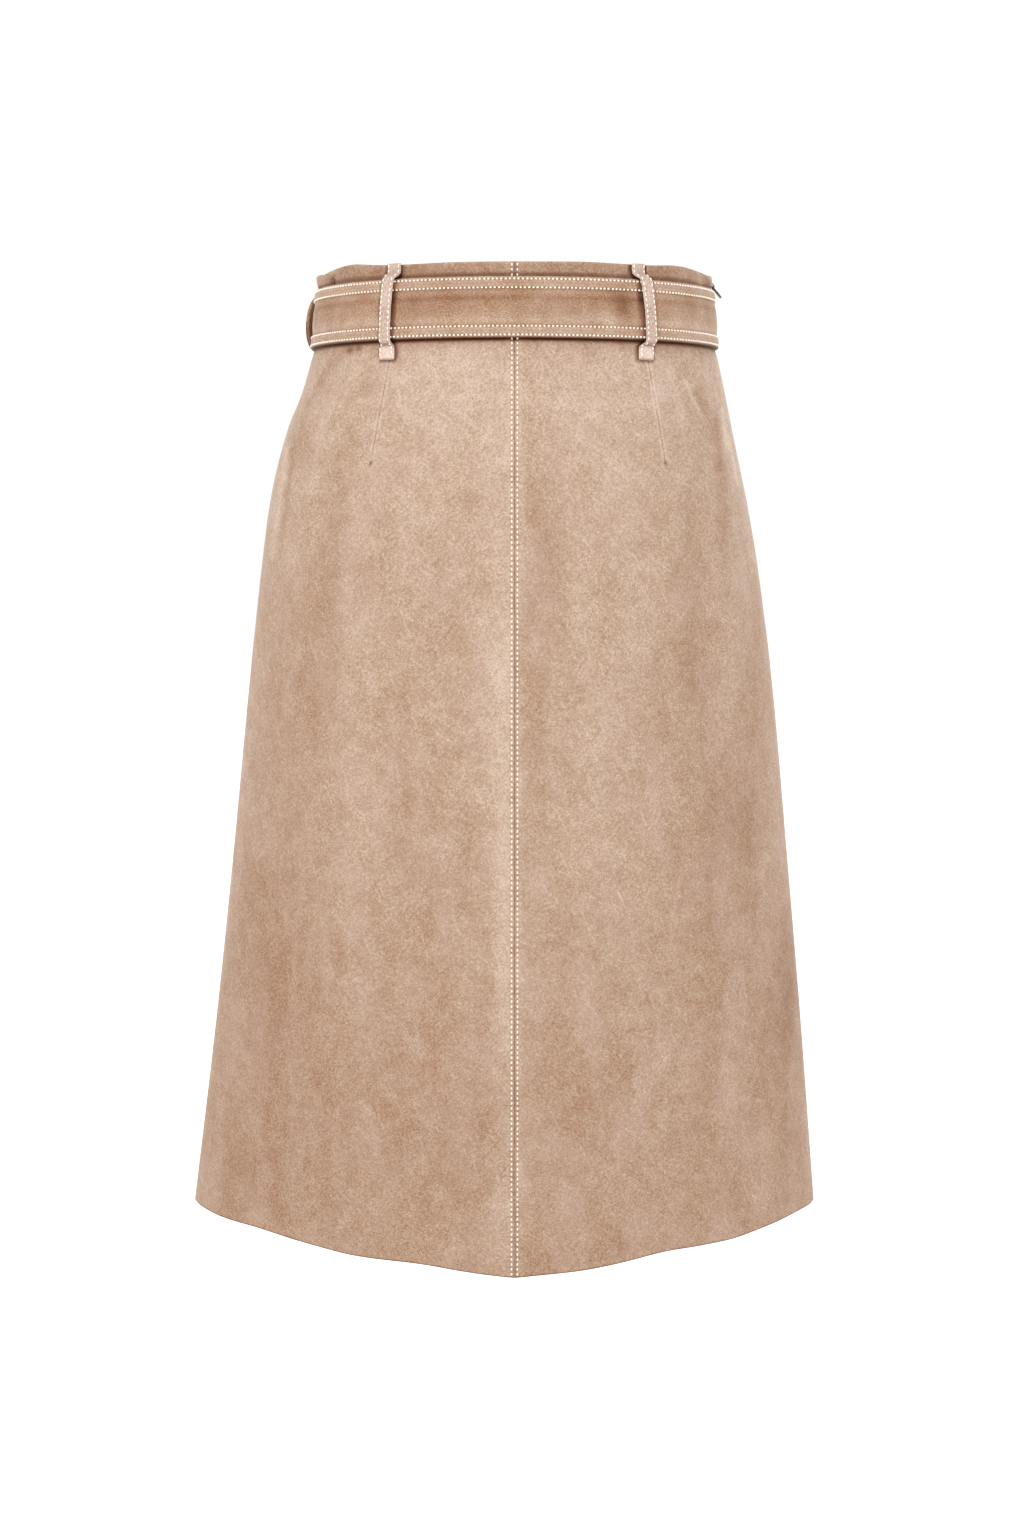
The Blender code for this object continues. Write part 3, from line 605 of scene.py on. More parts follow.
def skirt_tone(angle, z):
    """The broad light and dark of the panels' suede: the nap's own tone, with painted light and shade
    from the belt, loops, seams, darts, creases and edges.
    """
    x, y, _ = np.moveaxis(skirt_point(angle, z), -1, 0)
    tone = np.zeros_like(x)
    for patch in PATCHES:
        area = bell(x - patch.x, patch.wide) * bell(z - patch.z, patch.tall)
        tone += patch.amount * area * on_side(patch.front, y)
    for streak in STREAKS:
        away = segment_distance(x, z, streak)
        tone += streak.amount * bell(away, streak.width) * on_side(streak.front, y)
    tone += WAIST_SHADE * smoothstep(-16, -9, z)
    tone += TOP_EDGE_HIGHLIGHT * bell(z, TOP_EDGE_FALL)
    under = BELT_BOTTOM - z
    for amount, fall in ((BELT_SHADE, BELT_SHADE_FALL), (UNDER_BELT_SHADE, UNDER_BELT_FALL)):
        tone += amount * bell(np.maximum(under, 0), fall) * smoothstep(-14, -2, under)
    tone += loop_shade(x, y, z) + LENGTH_SHADE * np.clip(-z / HEM_DEPTH, 0, 1) + MAIN_TONE
    behind = on_side(False, y)
    # Painted shade in the centre back seam's gap, with a painted highlight on the raised strips beside
    # it.
    tone += behind * (0.22 * bell(np.abs(x) - 3.2, 2.4) + BACK_SEAM_SHADE * bell(x, SEAM_LINE))
    # Painted shade in the sunken lines under the seam's stitches.
    tone += behind * THREAD_SHADE * bell(np.abs(x) - stitch_offset(z), THREAD_FALL)
    # Painted highlight on the raised edges beside each side seam, and painted shade in its gap.
    for side in (smoothstep(-10, 10, x), smoothstep(10, -10, x)):
        tone += side * (0.30 * bell(np.abs(y) - 4, 4) + SIDE_SEAM_SHADE * bell(y, SIDE_SEAM_LINE))
    # Painted highlight on each dart's edges, painted shade in its sunken line and deeper painted shade at
    # its tip.
    for dart in DARTS:
        away = x - dart_x(dart, z)
        sewn = smoothstep(dart.tip + 2, dart.tip - 10, -z) * on_side(dart.front, y)
        tone += (0.45 * bell(np.abs(away) - 1.1, 0.7) + DART_SHADE * bell(away, DART_LINE)) * sewn
        tone += DART_TIP_SHADE * bell(away, 1.1) * bell(-z - dart.tip, 1.3) * on_side(dart.front, y)
    # Painted shade in the pinch of the top edge, and a painted highlight on the rim above it.
    tone += NOTCH_SHADE * bell(angle - NOTCH_ANGLE, 1.3) * bell(z - NOTCH_Z, 2.6)
    tone += 0.8 * bell(angle - NOTCH_ANGLE - 1, 2.2) * bell(z + 1.4, 1.5)
    # Painted shade where the cloth bulges by the top of the zip.
    tone -= 0.45 * bell(angle - 167, 4.5) * bell(z + 6, 4)
    # Painted shadow on the skirt along the belt's top edge.
    tone -= 1.2 * bell(z - BELT_TOP - 0.8, 0.9)
    return tone + HEM_SHADE * bell(z - hem_height(angle), HEM_FALL)


# ---- panels
EDGE_OFFSETS = np.array([0, 0.12, 0.3, 0.55, 0.9, 1.4, 2.0, 2.7, 3.6, 4.8, 6.4, 8.6, 11.5])
DART_OFFSETS = np.array([0, 0.3, 0.6, 1.0, 1.5, 2.2, 3.2, 4.6, 6.5, 9.0])
ROW_OFFSETS = np.array([0, 0.12, 0.3, 0.55, 0.9, 1.4, 2.1, 3.0, 4.2, 5.8, 7.8])
BELT_ROWS = np.arange(10.0, 47.5, 4.0)
CLEAR_ROWS = np.arange(48.0, 60.0, 1.2)

PANELS = table(
    "name start end darts step",
    ("back_left", LEFT, BACK, (DARTS[0],), 2.7),
    ("back_right", BACK, RIGHT, (DARTS[1],), 2.7),
    ("front", RIGHT, LEFT + 360, (DARTS[3], DARTS[2]), 3.7),
)


def panel_depths(step):
    """How far down its side each row of a panel lies, from 0 at the top to 1 at the hem."""
    body = np.arange(CLEAR_ROWS[-1] + step, HEM_DEPTH - ROW_OFFSETS[-1] - 1, step)
    depths = np.r_[ROW_OFFSETS, BELT_ROWS, CLEAR_ROWS, body, HEM_DEPTH - ROW_OFFSETS[::-1]]
    return depths / HEM_DEPTH


def column_angles(z, panel, fills):
    """The angles of a row's points, close together at the seams and along the darts."""
    angles = np.linspace(panel.start, panel.end, 721)
    points = skirt_point(angles, z)
    arcs = arc_lengths(points)
    order = np.argsort(points[:, 0])
    insets = [mouth_width(z) if end % 360 == RIGHT else SEAM_OPEN / 2 for end in panel[1:3]]
    stops = [insets[0]]
    for dart in panel.darts:
        angle = np.interp(dart_x(dart, z), points[order, 0], angles[order])
        stops.append(float(np.interp(angle, angles, arcs)))
    stops.append(arcs[-1] - insets[1])
    wanted = []
    for k, (near, far) in enumerate(zip(stops, stops[1:])):
        first = EDGE_OFFSETS if k == 0 else DART_OFFSETS[1:]
        last = EDGE_OFFSETS if k == len(stops) - 2 else DART_OFFSETS
        opened = np.linspace(near + first[-1], far - last[-1], fills[k] + 2)[1:-1]
        wanted += [near + first, opened, far - last[::-1]]
    wanted = np.concatenate(wanted)
    return np.interp(wanted, arcs, angles), wanted


def panel_fills(panel):
    """How many even columns each stretch between a panel's seams and darts gets."""
    z = -0.55 * HEM_DEPTH
    angles = np.linspace(panel.start, panel.end, 361)
    length = arc_lengths(skirt_point(angles, z))[-1]
    inner = [abs(dart_x(dart, z)) for dart in panel.darts]
    if len(inner) == 1:
        to_dart = length - inner[0]
        stretches = [to_dart, inner[0]] if panel.start == LEFT else [inner[0], to_dart]
    else:
        side = (length - sum(inner)) / 2
        stretches = [side, sum(inner), side]
    return [max(6, round((stretch - 20) / panel.step)) for stretch in stretches]


def build_panel(panel, finish):
    """One cut piece of suede as a thin closed shell, draped as it is worn."""
    fills = panel_fills(panel)
    outer, inner, tones, laid = [], [], [], []
    for share in panel_depths(panel.step):
        middle = (panel.start + panel.end) / 2
        angles, arcs = column_angles(share * hem_height(middle), panel, fills)
        z = share * hem_height(angles)
        out = normal(angles, z)
        base = skirt_point(angles, z)
        lift = np.array([0, 0, 1.0]) * top_wave(angles, z)[:, None]
        outer.append(base + lift + out * relief(angles, z)[:, None])
        thick = WALL + TURNED_THICK * smoothstep(TURNED_TOP + 4, TURNED_TOP, -z)
        fall = edge_fall(-z) + edge_fall(z - hem_height(angles))
        ends = np.minimum(arcs - arcs[0], arcs[-1] - arcs)
        level = drape(angles, z) - thick + fall + edge_fall(ends)
        inner.append(base + lift + out * level[:, None])
        tones.append(skirt_tone(angles, z))
        across = arcs - arcs[-1] / 2
        laid.append(cloth_places(across, z, panel.start * 3 + 17))
    rows, columns = len(outer), len(outer[0])
    points = np.concatenate([*outer, *inner])
    tone = np.concatenate([*tones, *[np.full(columns, -0.25)] * rows])
    laid = np.concatenate([*laid, *laid])
    faces = shell_faces(rows, columns)
    return add_mesh(panel.name + "_suede", points, faces, finish, tone, laid, panel.name)


# ---- stitches
SEAM_PITCH, SEAM_STITCH = 3.4, 2.2
BELT_PITCH, BELT_STITCH = 2.8, 1.7
LOOP_PITCH, LOOP_STITCH = 3.6, 2.3
THREAD_RADIUS = 0.56
STITCH_RINGS, STITCH_SIDES = 7, 8

Run = namedtuple("Run", "points normals pitch length radius")


def stitch_offset(z):
    """How far the top-stitching lies from the centre back seam. It spreads towards the hem."""
    return 1.8 + 0.15 * np.clip(-z / HEM_DEPTH, 0, 1)


def stitch_run(run, chance):
    """The points of each stitch in a run, lying on the cloth with both ends sunk into it."""
    arcs = arc_lengths(run.points)
    count = int((arcs[-1] - run.length) // run.pitch) + 1
    middles = run.length / 2 + run.pitch * np.arange(count) + chance.normal(0, 0.07, count)
    across = np.linspace(-1, 1, STITCH_RINGS)
    lengths = run.length * (1 + chance.normal(0, 0.04, count))
    places = middles[:, None] + across * lengths[:, None] / 2
    spine, up = read_along(places, arcs, run.points), unit(read_along(places, arcs, run.normals))
    forward = unit(spine[:, -1:] - spine[:, :1])
    side = np.cross(forward, up)
    slant = chance.normal(0, 0.06, (count, 1, 1)) * across[None, :, None]
    spine = spine + side * slant + up * (run.radius * (0.75 - 1.7 * across**4))[None, :, None]
    turns = np.linspace(0, 2 * np.pi, STITCH_SIDES, endpoint=False)
    radius = (run.radius * (1 - 0.35 * across**4))[None, :, None, None]
    ring = side[:, :, None] * np.cos(turns)[:, None] + up[:, :, None] * np.sin(turns)[:, None] * 0.8
    return spine[:, :, None] + ring * radius


def build_stitches(name, runs, finish):
    """All the stitches of one part of the garment, as one mesh."""
    chance = np.random.default_rng(len(name))
    stitches = np.concatenate([stitch_run(run, chance) for run in runs])
    each = STITCH_RINGS * STITCH_SIDES
    faces = [
        [index + each * k for index in face]
        for k in range(len(stitches))
        for face in tube_faces(STITCH_RINGS, STITCH_SIDES)
    ]
    return add_mesh(name, stitches.reshape(-1, 3), faces, finish)


def seam_stitches(finish):
    """The two rows beside the centre back seam."""
    runs = []
    for side in (1, -1):
        z = np.linspace(-0.6, hem_height(BACK) + 1.0, 900)
        angle = BACK - side * stitch_offset(z) / degree_length(BACK, z)
        line, ways = cloth_point(angle, z), normal(angle, z)
        runs.append(Run(line, ways, SEAM_PITCH, SEAM_STITCH, THREAD_RADIUS))
    return build_stitches("seam_stitches", runs, finish)


# ---- belt
BELT_LEVEL = BELT_STAND_OFF + BELT_THICK / 2
TAIL_LEVEL = BELT_LEVEL + BELT_THICK + LAYER_GAP
BELT_MIDDLE, BELT_HALF = (BELT_TOP + BELT_BOTTOM) / 2, (BELT_TOP - BELT_BOTTOM) / 2
BUCKLE_BAR_LEVEL, BUCKLE_BAR_RADIUS = 5.4, 1.1
WRAP_RADIUS = BUCKLE_BAR_RADIUS + LAYER_GAP + BELT_THICK / 2
WRAP_STEPS = 16
TIP_ANGLE, TIP_CURL_LENGTH, TIP_CURL_RISE, TIP_STEPS = -3.0, 34.0, 3.6, 26
RUN_STEP = 3.0
BAND_OUTER, BAND_INNER = 1.8, 7.4  # the stitch rows of an edge band, from the belt's edge

# Rows of the belt's path: how far along the waist, and the level of the belt's middle.
FOLDED_END = table("along level", (13.0, 5.0), (8.0, 6.6), (3.0, 8.0))
STRAP_START = table("along level", (4.5, 2.5), (12.0, BELT_LEVEL))
TAIL_THROUGH = table(
    "along level",
    (-34.0, BELT_LEVEL),
    (-27.0, 1.9),
    (-21.0, 2.5),
    (-15.0, 5.2),
    (-9.0, 9.0),
    (-3.0, 11.0),
    (3.0, 11.1),
    (9.0, 9.9),
    (15.0, 7.1),
    (21.0, 5.1),
    (28.0, 4.7),
    (37.0, TAIL_LEVEL),
)


def belt_path(girth, tail_end):
    """The belt's middle line, as distances along the waist and levels."""
    turns = np.radians(90 + 180 * np.arange(1, WRAP_STEPS) / WRAP_STEPS)
    levels = BUCKLE_BAR_LEVEL + WRAP_RADIUS * np.sin(turns)
    wrap = np.stack([WRAP_RADIUS * np.cos(turns), levels], axis=1)
    top, bottom = BUCKLE_BAR_LEVEL + WRAP_RADIUS, BUCKLE_BAR_LEVEL - WRAP_RADIUS
    strap = np.arange(STRAP_START[-1].along, girth + TAIL_THROUGH[0].along, RUN_STEP)[1:]
    curl_start = tail_end - TIP_CURL_LENGTH
    tail = np.arange(girth + TAIL_THROUGH[-1].along, curl_start, RUN_STEP)[1:]
    shares = np.sin(np.radians(90 * np.arange(TIP_STEPS) / TIP_STEPS))
    levels = TAIL_LEVEL + TIP_CURL_RISE * shares**2
    tip = np.stack([curl_start + TIP_CURL_LENGTH * shares, levels], axis=1)
    path = [*smooth_rows([*FOLDED_END, (0.0, top)], 1.5), *wrap]
    path += smooth_rows([(0.0, bottom), *STRAP_START], 1.5)
    path += [(along, BELT_LEVEL) for along in strap]
    path += smooth_rows([(girth + row.along, row.level) for row in TAIL_THROUGH], 1.5)
    path += [(along, TAIL_LEVEL) for along in tail]
    return np.array([*path, *tip, (tail_end - 0.05, TAIL_LEVEL + TIP_CURL_RISE)])


def belt_strap():
    """The belt's rings: where each lies along the strap, its middle, its rise and its outward way."""
    angles = FRONT + np.linspace(0, 720, 5761)
    points = skirt_point(angles, BELT_MIDDLE)
    arcs = arc_lengths(points)
    girth = float(np.interp(FRONT + 360, angles, arcs))
    tail_end = float(np.interp(720 + TIP_ANGLE, angles, arcs))
    path = belt_path(girth, tail_end)
    angle, level = np.interp(path[:, 0] % girth, arcs, angles), path[:, 1]
    low = off_skirt(angle, BELT_BOTTOM, level)
    high = off_skirt(angle, BELT_TOP, level)
    middle = off_skirt(angle, BELT_MIDDLE, level)
    run = np.gradient(middle, axis=0)
    out = unit(np.stack([run[:, 1], -run[:, 0], np.zeros(len(run))], axis=1))
    along = arc_lengths(middle)
    return along, (low + high) / 2, (high - low) / 2, out


def belt_edge_distance(along, height, end):
    """The distance to the belt's edge from a point at a height from its middle."""
    past = np.maximum(along - (end - BELT_HALF), 0)
    return BELT_HALF - np.hypot(past, height)


# The belt's small unevenness: how far along the back (x) it bulges or sinks, and where on it, with its
# tone, mostly painted light on the bulges and painted shade in the dents.
SWELLS = table(
    "x height wide tall amount tone",
    (-70, 2, 5, 11, -0.7, -0.75),
    (-60, -6, 7, 8, 0.5, 0.45),
    (-66, 12, 7, 3, 0.3, -0.10),
    (68, 0, 8, 11, -0.3, -0.25),
    (36, 3, 20, 8, -0.2, -0.16),
    (-20, 4, 22, 7, 0.2, 0.08),
    (10, -6, 26, 6, 0.25, 0.14),
    (-96, 0, 10, 14, 0.4, 0.12),
    (-118, 2, 6, 13, -0.5, -0.12),
    (-116, -2, 24, 14, 0.0, 0.34),
    (102, -2, 14, 14, 0.3, 0.16),
    (122, 4, 6, 12, -0.3, -0.10),
)


def belt_relief(distance, x, height, behind):
    """The belt's face: a raised band along each edge, and a field that is padded a little."""
    band = np.clip((distance - BAND_OUTER) / (BAND_INNER - BAND_OUTER), 0, 1)
    face = 0.42 * np.sin(np.pi * band) ** 0.6
    face -= 0.18 * (bell(distance - BAND_OUTER, 0.45) + bell(distance - BAND_INNER, 0.45))
    field = smoothstep(BAND_INNER, BAND_INNER + 1.1, distance)
    face += field * (-0.42 + 0.75 * smoothstep(BAND_INNER + 1, BAND_INNER + 9, distance))
    for swell in SWELLS:
        shape = bell(x - swell.x, swell.wide) * bell(height - swell.height, swell.tall)
        face += swell.amount * shape * behind
    inside = np.clip(1.0 - distance, 0, 1.0)
    return face - 1.05 * (1 - np.sqrt(1 - inside**2))


# Lines painted darker along the belt, as painted shade in its sunken stitch rows, under its raised bands
# and at its rounded edge, with a faint line down each band: how far in from its edge, how wide and how
# light.
BELT_LINES = table(
    "inset width amount",
    (BAND_INNER + 1.2, 0.9, -0.3),
    (BAND_OUTER, 0.6, -1.1),
    (BAND_INNER, 0.6, -1.1),
    ((BAND_OUTER + BAND_INNER) / 2, 0.5, -0.35),
    (0.0, 0.5, -0.8),
)
# Painted light and shade along the padded field, by height from the belt's middle: a soft dark crease
# high up, lighter low down.
FIELD_LINES = table("height width amount", (-9.0, 3.5, 0.35), (6.0, 2.4, -0.6), (0.0, 5.0, -0.25))
BAND_TONE, FIELD_TONE = 0.16, -0.4
# A painted highlight along the belt's upper edge, and painted shade along its rounded lower edge.
UPPER_EDGE_HIGHLIGHT, LOWER_EDGE_SHADE = 0.5, -1.4


def belt_tone(distance, x, height, behind):
    """The belt's light and dark: paler edge bands, a browner field, and painted light and shade along its
    lines, edges and swells.
    """
    field = smoothstep(BAND_INNER - 0.2, BAND_INNER + 0.8, distance)
    puff = sum(line.amount * bell(height - line.height, line.width) for line in FIELD_LINES)
    tone = BAND_TONE + field * (puff + FIELD_TONE)
    tone += UPPER_EDGE_HIGHLIGHT * bell(distance - 0.9, 0.4) * (height > 0)
    tone += LOWER_EDGE_SHADE * smoothstep(1.0, 0.4, distance) * (height < 0)
    for line in BELT_LINES:
        tone += line.amount * bell(distance - line.inset, line.width)
    for swell in SWELLS:
        shape = bell(x - swell.x, swell.wide) * bell(height - swell.height, swell.tall)
        tone += swell.tone * shape * behind
    # Painted shade in a wrinkle of the belt's field beside the back right loop.
    return tone - 0.9 * behind * bell(x + 64.5, 0.5) * field


BELT_FACE = np.array(
    [0, 0.1, 0.28, 0.55, 0.9, 1.3, 1.55, 1.8, 2.05, 2.5, 3.3, 4.2, 4.6, 5.2, 6.1, 6.7, 7.1, 7.4]
    + [7.7, 8.1, 8.6, 9.4, 10.6, 12.0, 13.4, 14.8, 16.4, 18.0]
)


def build_belt(strap, finish):
    """The belt: one strap once round the waist, through its buckle and on to its round tip."""
    along, middle, rise, out = strap
    end = along[-1]
    reach = np.sqrt(np.maximum(BELT_HALF**2 - np.maximum(along - end + BELT_HALF, 0) ** 2, 0.3))
    shares = 1 - BELT_FACE / BELT_HALF
    shares = np.r_[shares, 0, -shares[::-1]]
    height = reach[:, None] * shares
    distance = np.maximum(belt_edge_distance(along[:, None], height, end), 0)
    place = middle[:, None] + rise[:, None] * (height / BELT_HALF)[..., None]
    behind = on_side(False, place[..., 1]) * (along < end * 0.75)[:, None]
    level = BELT_THICK / 2 + belt_relief(distance, place[..., 0], height, behind)
    face = place + out[:, None] * level[..., None]
    back_shares = np.array([-1, -0.97, -0.9, -0.5, 0, 0.5, 0.9, 0.97, 1.0])
    back_height = reach[:, None] * back_shares
    edge = np.clip(1.0 - np.maximum(belt_edge_distance(along[:, None], back_height, end), 0), 0, 1)
    back_level = -BELT_THICK / 2 + 0.9 * (1 - np.sqrt(1 - edge**2))
    back = middle[:, None] + rise[:, None] * (back_height / BELT_HALF)[..., None]
    back = back + out[:, None] * back_level[..., None]
    rings = np.concatenate([face, back], axis=1)
    tone = belt_tone(distance, place[..., 0], height, behind) + loop_shade(*np.moveaxis(place, -1, 0))
    tone = np.concatenate([tone, np.full(back_height.shape, -0.4)], axis=1)
    laid = cloth_places(along[:, None], np.concatenate([height, back_height], axis=1), 410)
    return add_tube("belt_strap", rings, finish, tone, laid, "belt")


def belt_stitches(strap, finish):
    """Four rows along the belt. At its round tip each upper row turns into the lower one."""
    along, middle, rise, out = strap
    end = along[-1]
    runs = []
    for inset in (BAND_OUTER, BAND_INNER):
        radius = BELT_HALF - inset
        straight = np.arange(6.0, end - BELT_HALF, 1.0)
        turns = np.linspace(0, np.pi, 40)
        places = np.r_[straight, end - BELT_HALF + radius * np.sin(turns), straight[::-1]]
        heights = np.r_[straight * 0 + radius, radius * np.cos(turns), straight * 0 - radius]
        up = read_along(places, along, rise)
        face = read_along(places, along, middle) + up * (heights / BELT_HALF)[:, None]
        behind = on_side(False, face[:, 1]) * (places < end * 0.75)
        distance = np.full(len(places), inset)
        level = BELT_THICK / 2 + belt_relief(distance, face[:, 0], heights, behind)
        ways = unit(read_along(places, along, out))
        face += ways * level[:, None]
        length = BELT_STITCH + (0.15 if inset == BAND_OUTER else 0)
        runs.append(Run(face, ways, BELT_PITCH, length, THREAD_RADIUS * 1.12))
    return build_stitches("belt_stitches", runs, finish)


# ---- belt loops
def angle_at_x(x, z, front):
    """Where the section at z passes a sideways distance x."""
    left, right = section_at(z)[..., 0], section_at(z)[..., 1]
    angle = np.degrees(np.arccos(x / np.where(x > 0, left, right)))
    return 360 - angle if front else angle


def loop_strap(loop):
    """A loop's middle line, its sideways and outward ways, widths and thicknesses."""
    rows = np.array(smooth_rows(LOOP_ROWS, 0.8))
    height, level, _, width, thick = rows.T
    z = np.minimum(height, 0.0)
    angle = angle_at_x(loop_middle(loop, z), z, loop.front)
    more = (loop.layers - 1) * (BELT_THICK + LAYER_GAP)
    over = np.clip((level - ON_SKIRT) / (OVER_BELT - ON_SKIRT), 0, 1) * (-z < 51.5)
    middle = off_skirt(angle, z, level + more * over)
    middle[:, 2] = height
    out = outward(angle, z)
    side = np.stack([-out[:, 1], out[:, 0], np.zeros(len(out))], axis=1)
    run = np.gradient(middle, axis=0)
    run -= side * (run * side).sum(1, keepdims=True)
    face = unit(np.cross(side, run))
    face *= np.sign((face * out).sum(1, keepdims=True))
    return middle, side, face, width, thick


LOOP_SIDE = np.array([0.35, 0.6, 0.74, 0.86, 0.94, 0.985, 1])
LOOP_FACE = np.r_[-LOOP_SIDE[::-1], 0, LOOP_SIDE]


def build_loop(loop, finish):
    """A narrow strap sewn on above and below the belt, its lower end folded under."""
    middle, side, face, width, thick = loop_strap(loop)
    bulge = np.sqrt(np.clip(1 - np.abs(LOOP_FACE) ** 7, 0, 1))
    dip = 0.14 * bell(np.abs(LOOP_FACE) - 0.68, 0.09)
    across = side[:, None] * (LOOP_FACE * width[:, None] / 2)[..., None]
    front = middle[:, None] + across + face[:, None] * (thick[:, None] / 2 * bulge - dip)[..., None]
    back = middle[:, None] + across - face[:, None] * (thick[:, None] / 2 * bulge)[..., None]
    rings = np.concatenate([front, back[:, -2:0:-1]], axis=1)
    spots = np.r_[LOOP_FACE, LOOP_FACE[-2:0:-1]]
    laid = cloth_places(spots * width[:, None] / 2, arc_lengths(middle)[:, None], 530)
    height = middle[:, 2][:, None]
    # Painted light and shade on the loop: a painted highlight on its folded end, painted shade in its
    # bends over the belt's edges and under the folded end, and a paler line along its side edges.
    tone = 0.25 * bell(np.abs(spots) - 1, 0.1) + 0.7 * smoothstep(-53.5, -55.5, height)
    tone = tone - 0.9 * bell(height + 51.6, 1.3) - 0.5 * bell(height + 7.0, 1.0)
    tone = tone - 1.2 * smoothstep(-61.0, -61.9, height)
    return add_tube(loop.name + "_strap", rings, finish, tone, laid, loop.name)


def loop_stitches(finish):
    """Two rows down each loop."""
    runs = []
    for loop in LOOPS:
        middle, side, face, width, thick = loop_strap(loop)
        for hand in (-1, 1):
            inset = (width / 2 - LOOP_STITCH_INSET)[:, None]
            line = middle + side * hand * inset + face * (thick / 2 - 0.1)[:, None]
            kept = slice(1, int(len(line) * 0.985))
            runs.append(Run(line[kept], face[kept], LOOP_PITCH, LOOP_STITCH, THREAD_RADIUS * 0.95))
    return build_stitches("loop_stitches", runs, finish)


# ---- zip
TAPE_LEVEL, TAPE_THICK, TAPE_HALF, ZIP_END = -2.3, 0.8, 8.0, -200.0
TOOTH_PITCH, TOOTH_LENGTH, TOOTH_HEIGHT = 2.0, 3.4, 1.1


def build_tape(finish):
    """The zip's woven tape behind the side seam."""
    z = np.linspace(-0.8, ZIP_END, 140)
    spots = np.array([-1, -0.97, -0.8, -0.4, -0.1, 0, 0.1, 0.4, 0.8, 0.97, 1])
    angle = RIGHT + spots * (TAPE_HALF / degree_length(RIGHT, z))[:, None]
    z = np.broadcast_to(z[:, None], angle.shape)
    thin = 0.3 * np.abs(spots) ** 12
    out = normal(angle, z)
    near = skirt_point(angle, z) + out * (TAPE_LEVEL - thin)[:, None]
    far = skirt_point(angle, z) + out * (TAPE_LEVEL - TAPE_THICK + thin)[:, None]
    rings = np.concatenate([near, far[:, ::-1]], axis=1)
    laid = cloth_places(np.r_[spots, spots[::-1]] * TAPE_HALF, rings[..., 2], 0)
    return add_tube("zip_tape_woven", rings, finish, 0.0, laid, "zip_tape")


def build_teeth(finish):
    """The zip's closed teeth, from under its slider to its end."""
    centres = np.arange(-9.4, ZIP_END + 3, -TOOTH_PITCH / 2)
    hands = np.where(np.arange(len(centres)) % 2, 1.0, -1.0)
    turns = np.linspace(0, 2 * np.pi, 8, endpoint=False)
    outline = np.sign(np.cos(turns)) * np.abs(np.cos(turns)) ** 0.6, np.sin(turns)
    points, faces = [], []
    for z, hand in zip(centres, hands):
        out, middle = normal(RIGHT, z), skirt_point(RIGHT, z)
        for reach, size in ((-0.15, 0.5), (0.0, 1.0), (0.75, 1.0), (1.0, 0.55)):
            spot = middle + out * (TAPE_LEVEL + 0.42)
            spot = spot + np.array([0, 1, 0]) * hand * (reach * TOOTH_LENGTH - 0.7)
            ring = out * (outline[1] * 0.36 * size)[:, None]
            ring = ring + np.array([0, 0, 1.0]) * (outline[0] * TOOTH_HEIGHT / 2 * size)[:, None]
            points.append(spot + ring)
        start = (len(points) - 4) * 8
        faces += [[index + start for index in face] for face in tube_faces(4, 8)]
    return add_mesh("zip_teeth", np.concatenate(points), faces, finish)


# ---- materials
class Shader:
    """A material's nodes, added one at a time and joined by what goes into each."""

    def __init__(self, name):
        self.material = bpy.data.materials.new(name)
        self.material.use_nodes = True
        self.tree = self.material.node_tree
        self.principled = self.tree.nodes["Principled BSDF"]

    def add(self, kind, inputs=None, **settings):
        made = self.tree.nodes.new(kind)
        for key, value in settings.items():
            setattr(made, key, value)
        for key, value in (inputs or {}).items():
            self.join(value, made.inputs[key])
        return made

    def join(self, value, socket):
        if isinstance(value, bpy.types.NodeSocket):
            self.tree.links.new(value, socket)
        else:
            socket.default_value = value

    def math(self, operation, first, second=0.0, clamp=False):
        made = self.add("ShaderNodeMath", {0: first, 1: second}, operation=operation)
        made.use_clamp = clamp
        return made.outputs[0]

    def attribute(self, name, output):
        return self.add("ShaderNodeAttribute", attribute_name=name).outputs[output]

    def noise(self, vector, scale, detail=2.0, roughness=0.5, distortion=0.0):
        inputs = {"Vector": vector, "Scale": scale, "Detail": detail}
        inputs.update({"Roughness": roughness, "Distortion": distortion})
        return self.add("ShaderNodeTexNoise", inputs).outputs[0]

    def stretched(self, vector, turn, size):
        """Coordinates turned in the cloth's plane and stretched along the turned way."""
        inputs = {"Vector": vector, "Rotation": (0, 0, radians(turn)), "Scale": size}
        return self.add("ShaderNodeMapping", inputs, vector_type="TEXTURE").outputs[0]

    def mix(self, share, first, second):
        made = self.add("ShaderNodeMix", data_type="RGBA")
        for place, value in ((0, share), (6, first), (7, second)):
            self.join(value, made.inputs[place])
        return made.outputs[2]

    def weighed(self, total, *parts):
        """A total with each part added by its weight."""
        for part, weight in parts:
            total = self.math("ADD", total, self.math("MULTIPLY", part, weight))
        return total

    def bump(self, height, strength, distance):
        inputs = {"Height": height, "Strength": strength, "Distance": distance}
        return self.add("ShaderNodeBump", inputs).outputs[0]

    def ramp(self, share, stops):
        made = self.add("ShaderNodeValToRGB", {"Fac": share})
        made.color_ramp.interpolation = "LINEAR"
        elements = made.color_ramp.elements
        while len(elements) < len(stops):
            elements.new(0.5)
        for element, (place, colour) in zip(elements, stops):
            element.position = place
            element.color = screen_colour(colour)
        return made.outputs[0]

    def finish(self, **values):
        for key, value in values.items():
            self.join(value, self.principled.inputs[key.replace("_", " ")])
        return self.material


def screen_colour(parts):
    """A colour as a screen shows it, 0 to 255, in the linear numbers that a shader takes."""
    return (*(((part / 255 + 0.055) / 1.055) ** 2.4 for part in parts), 1.0)


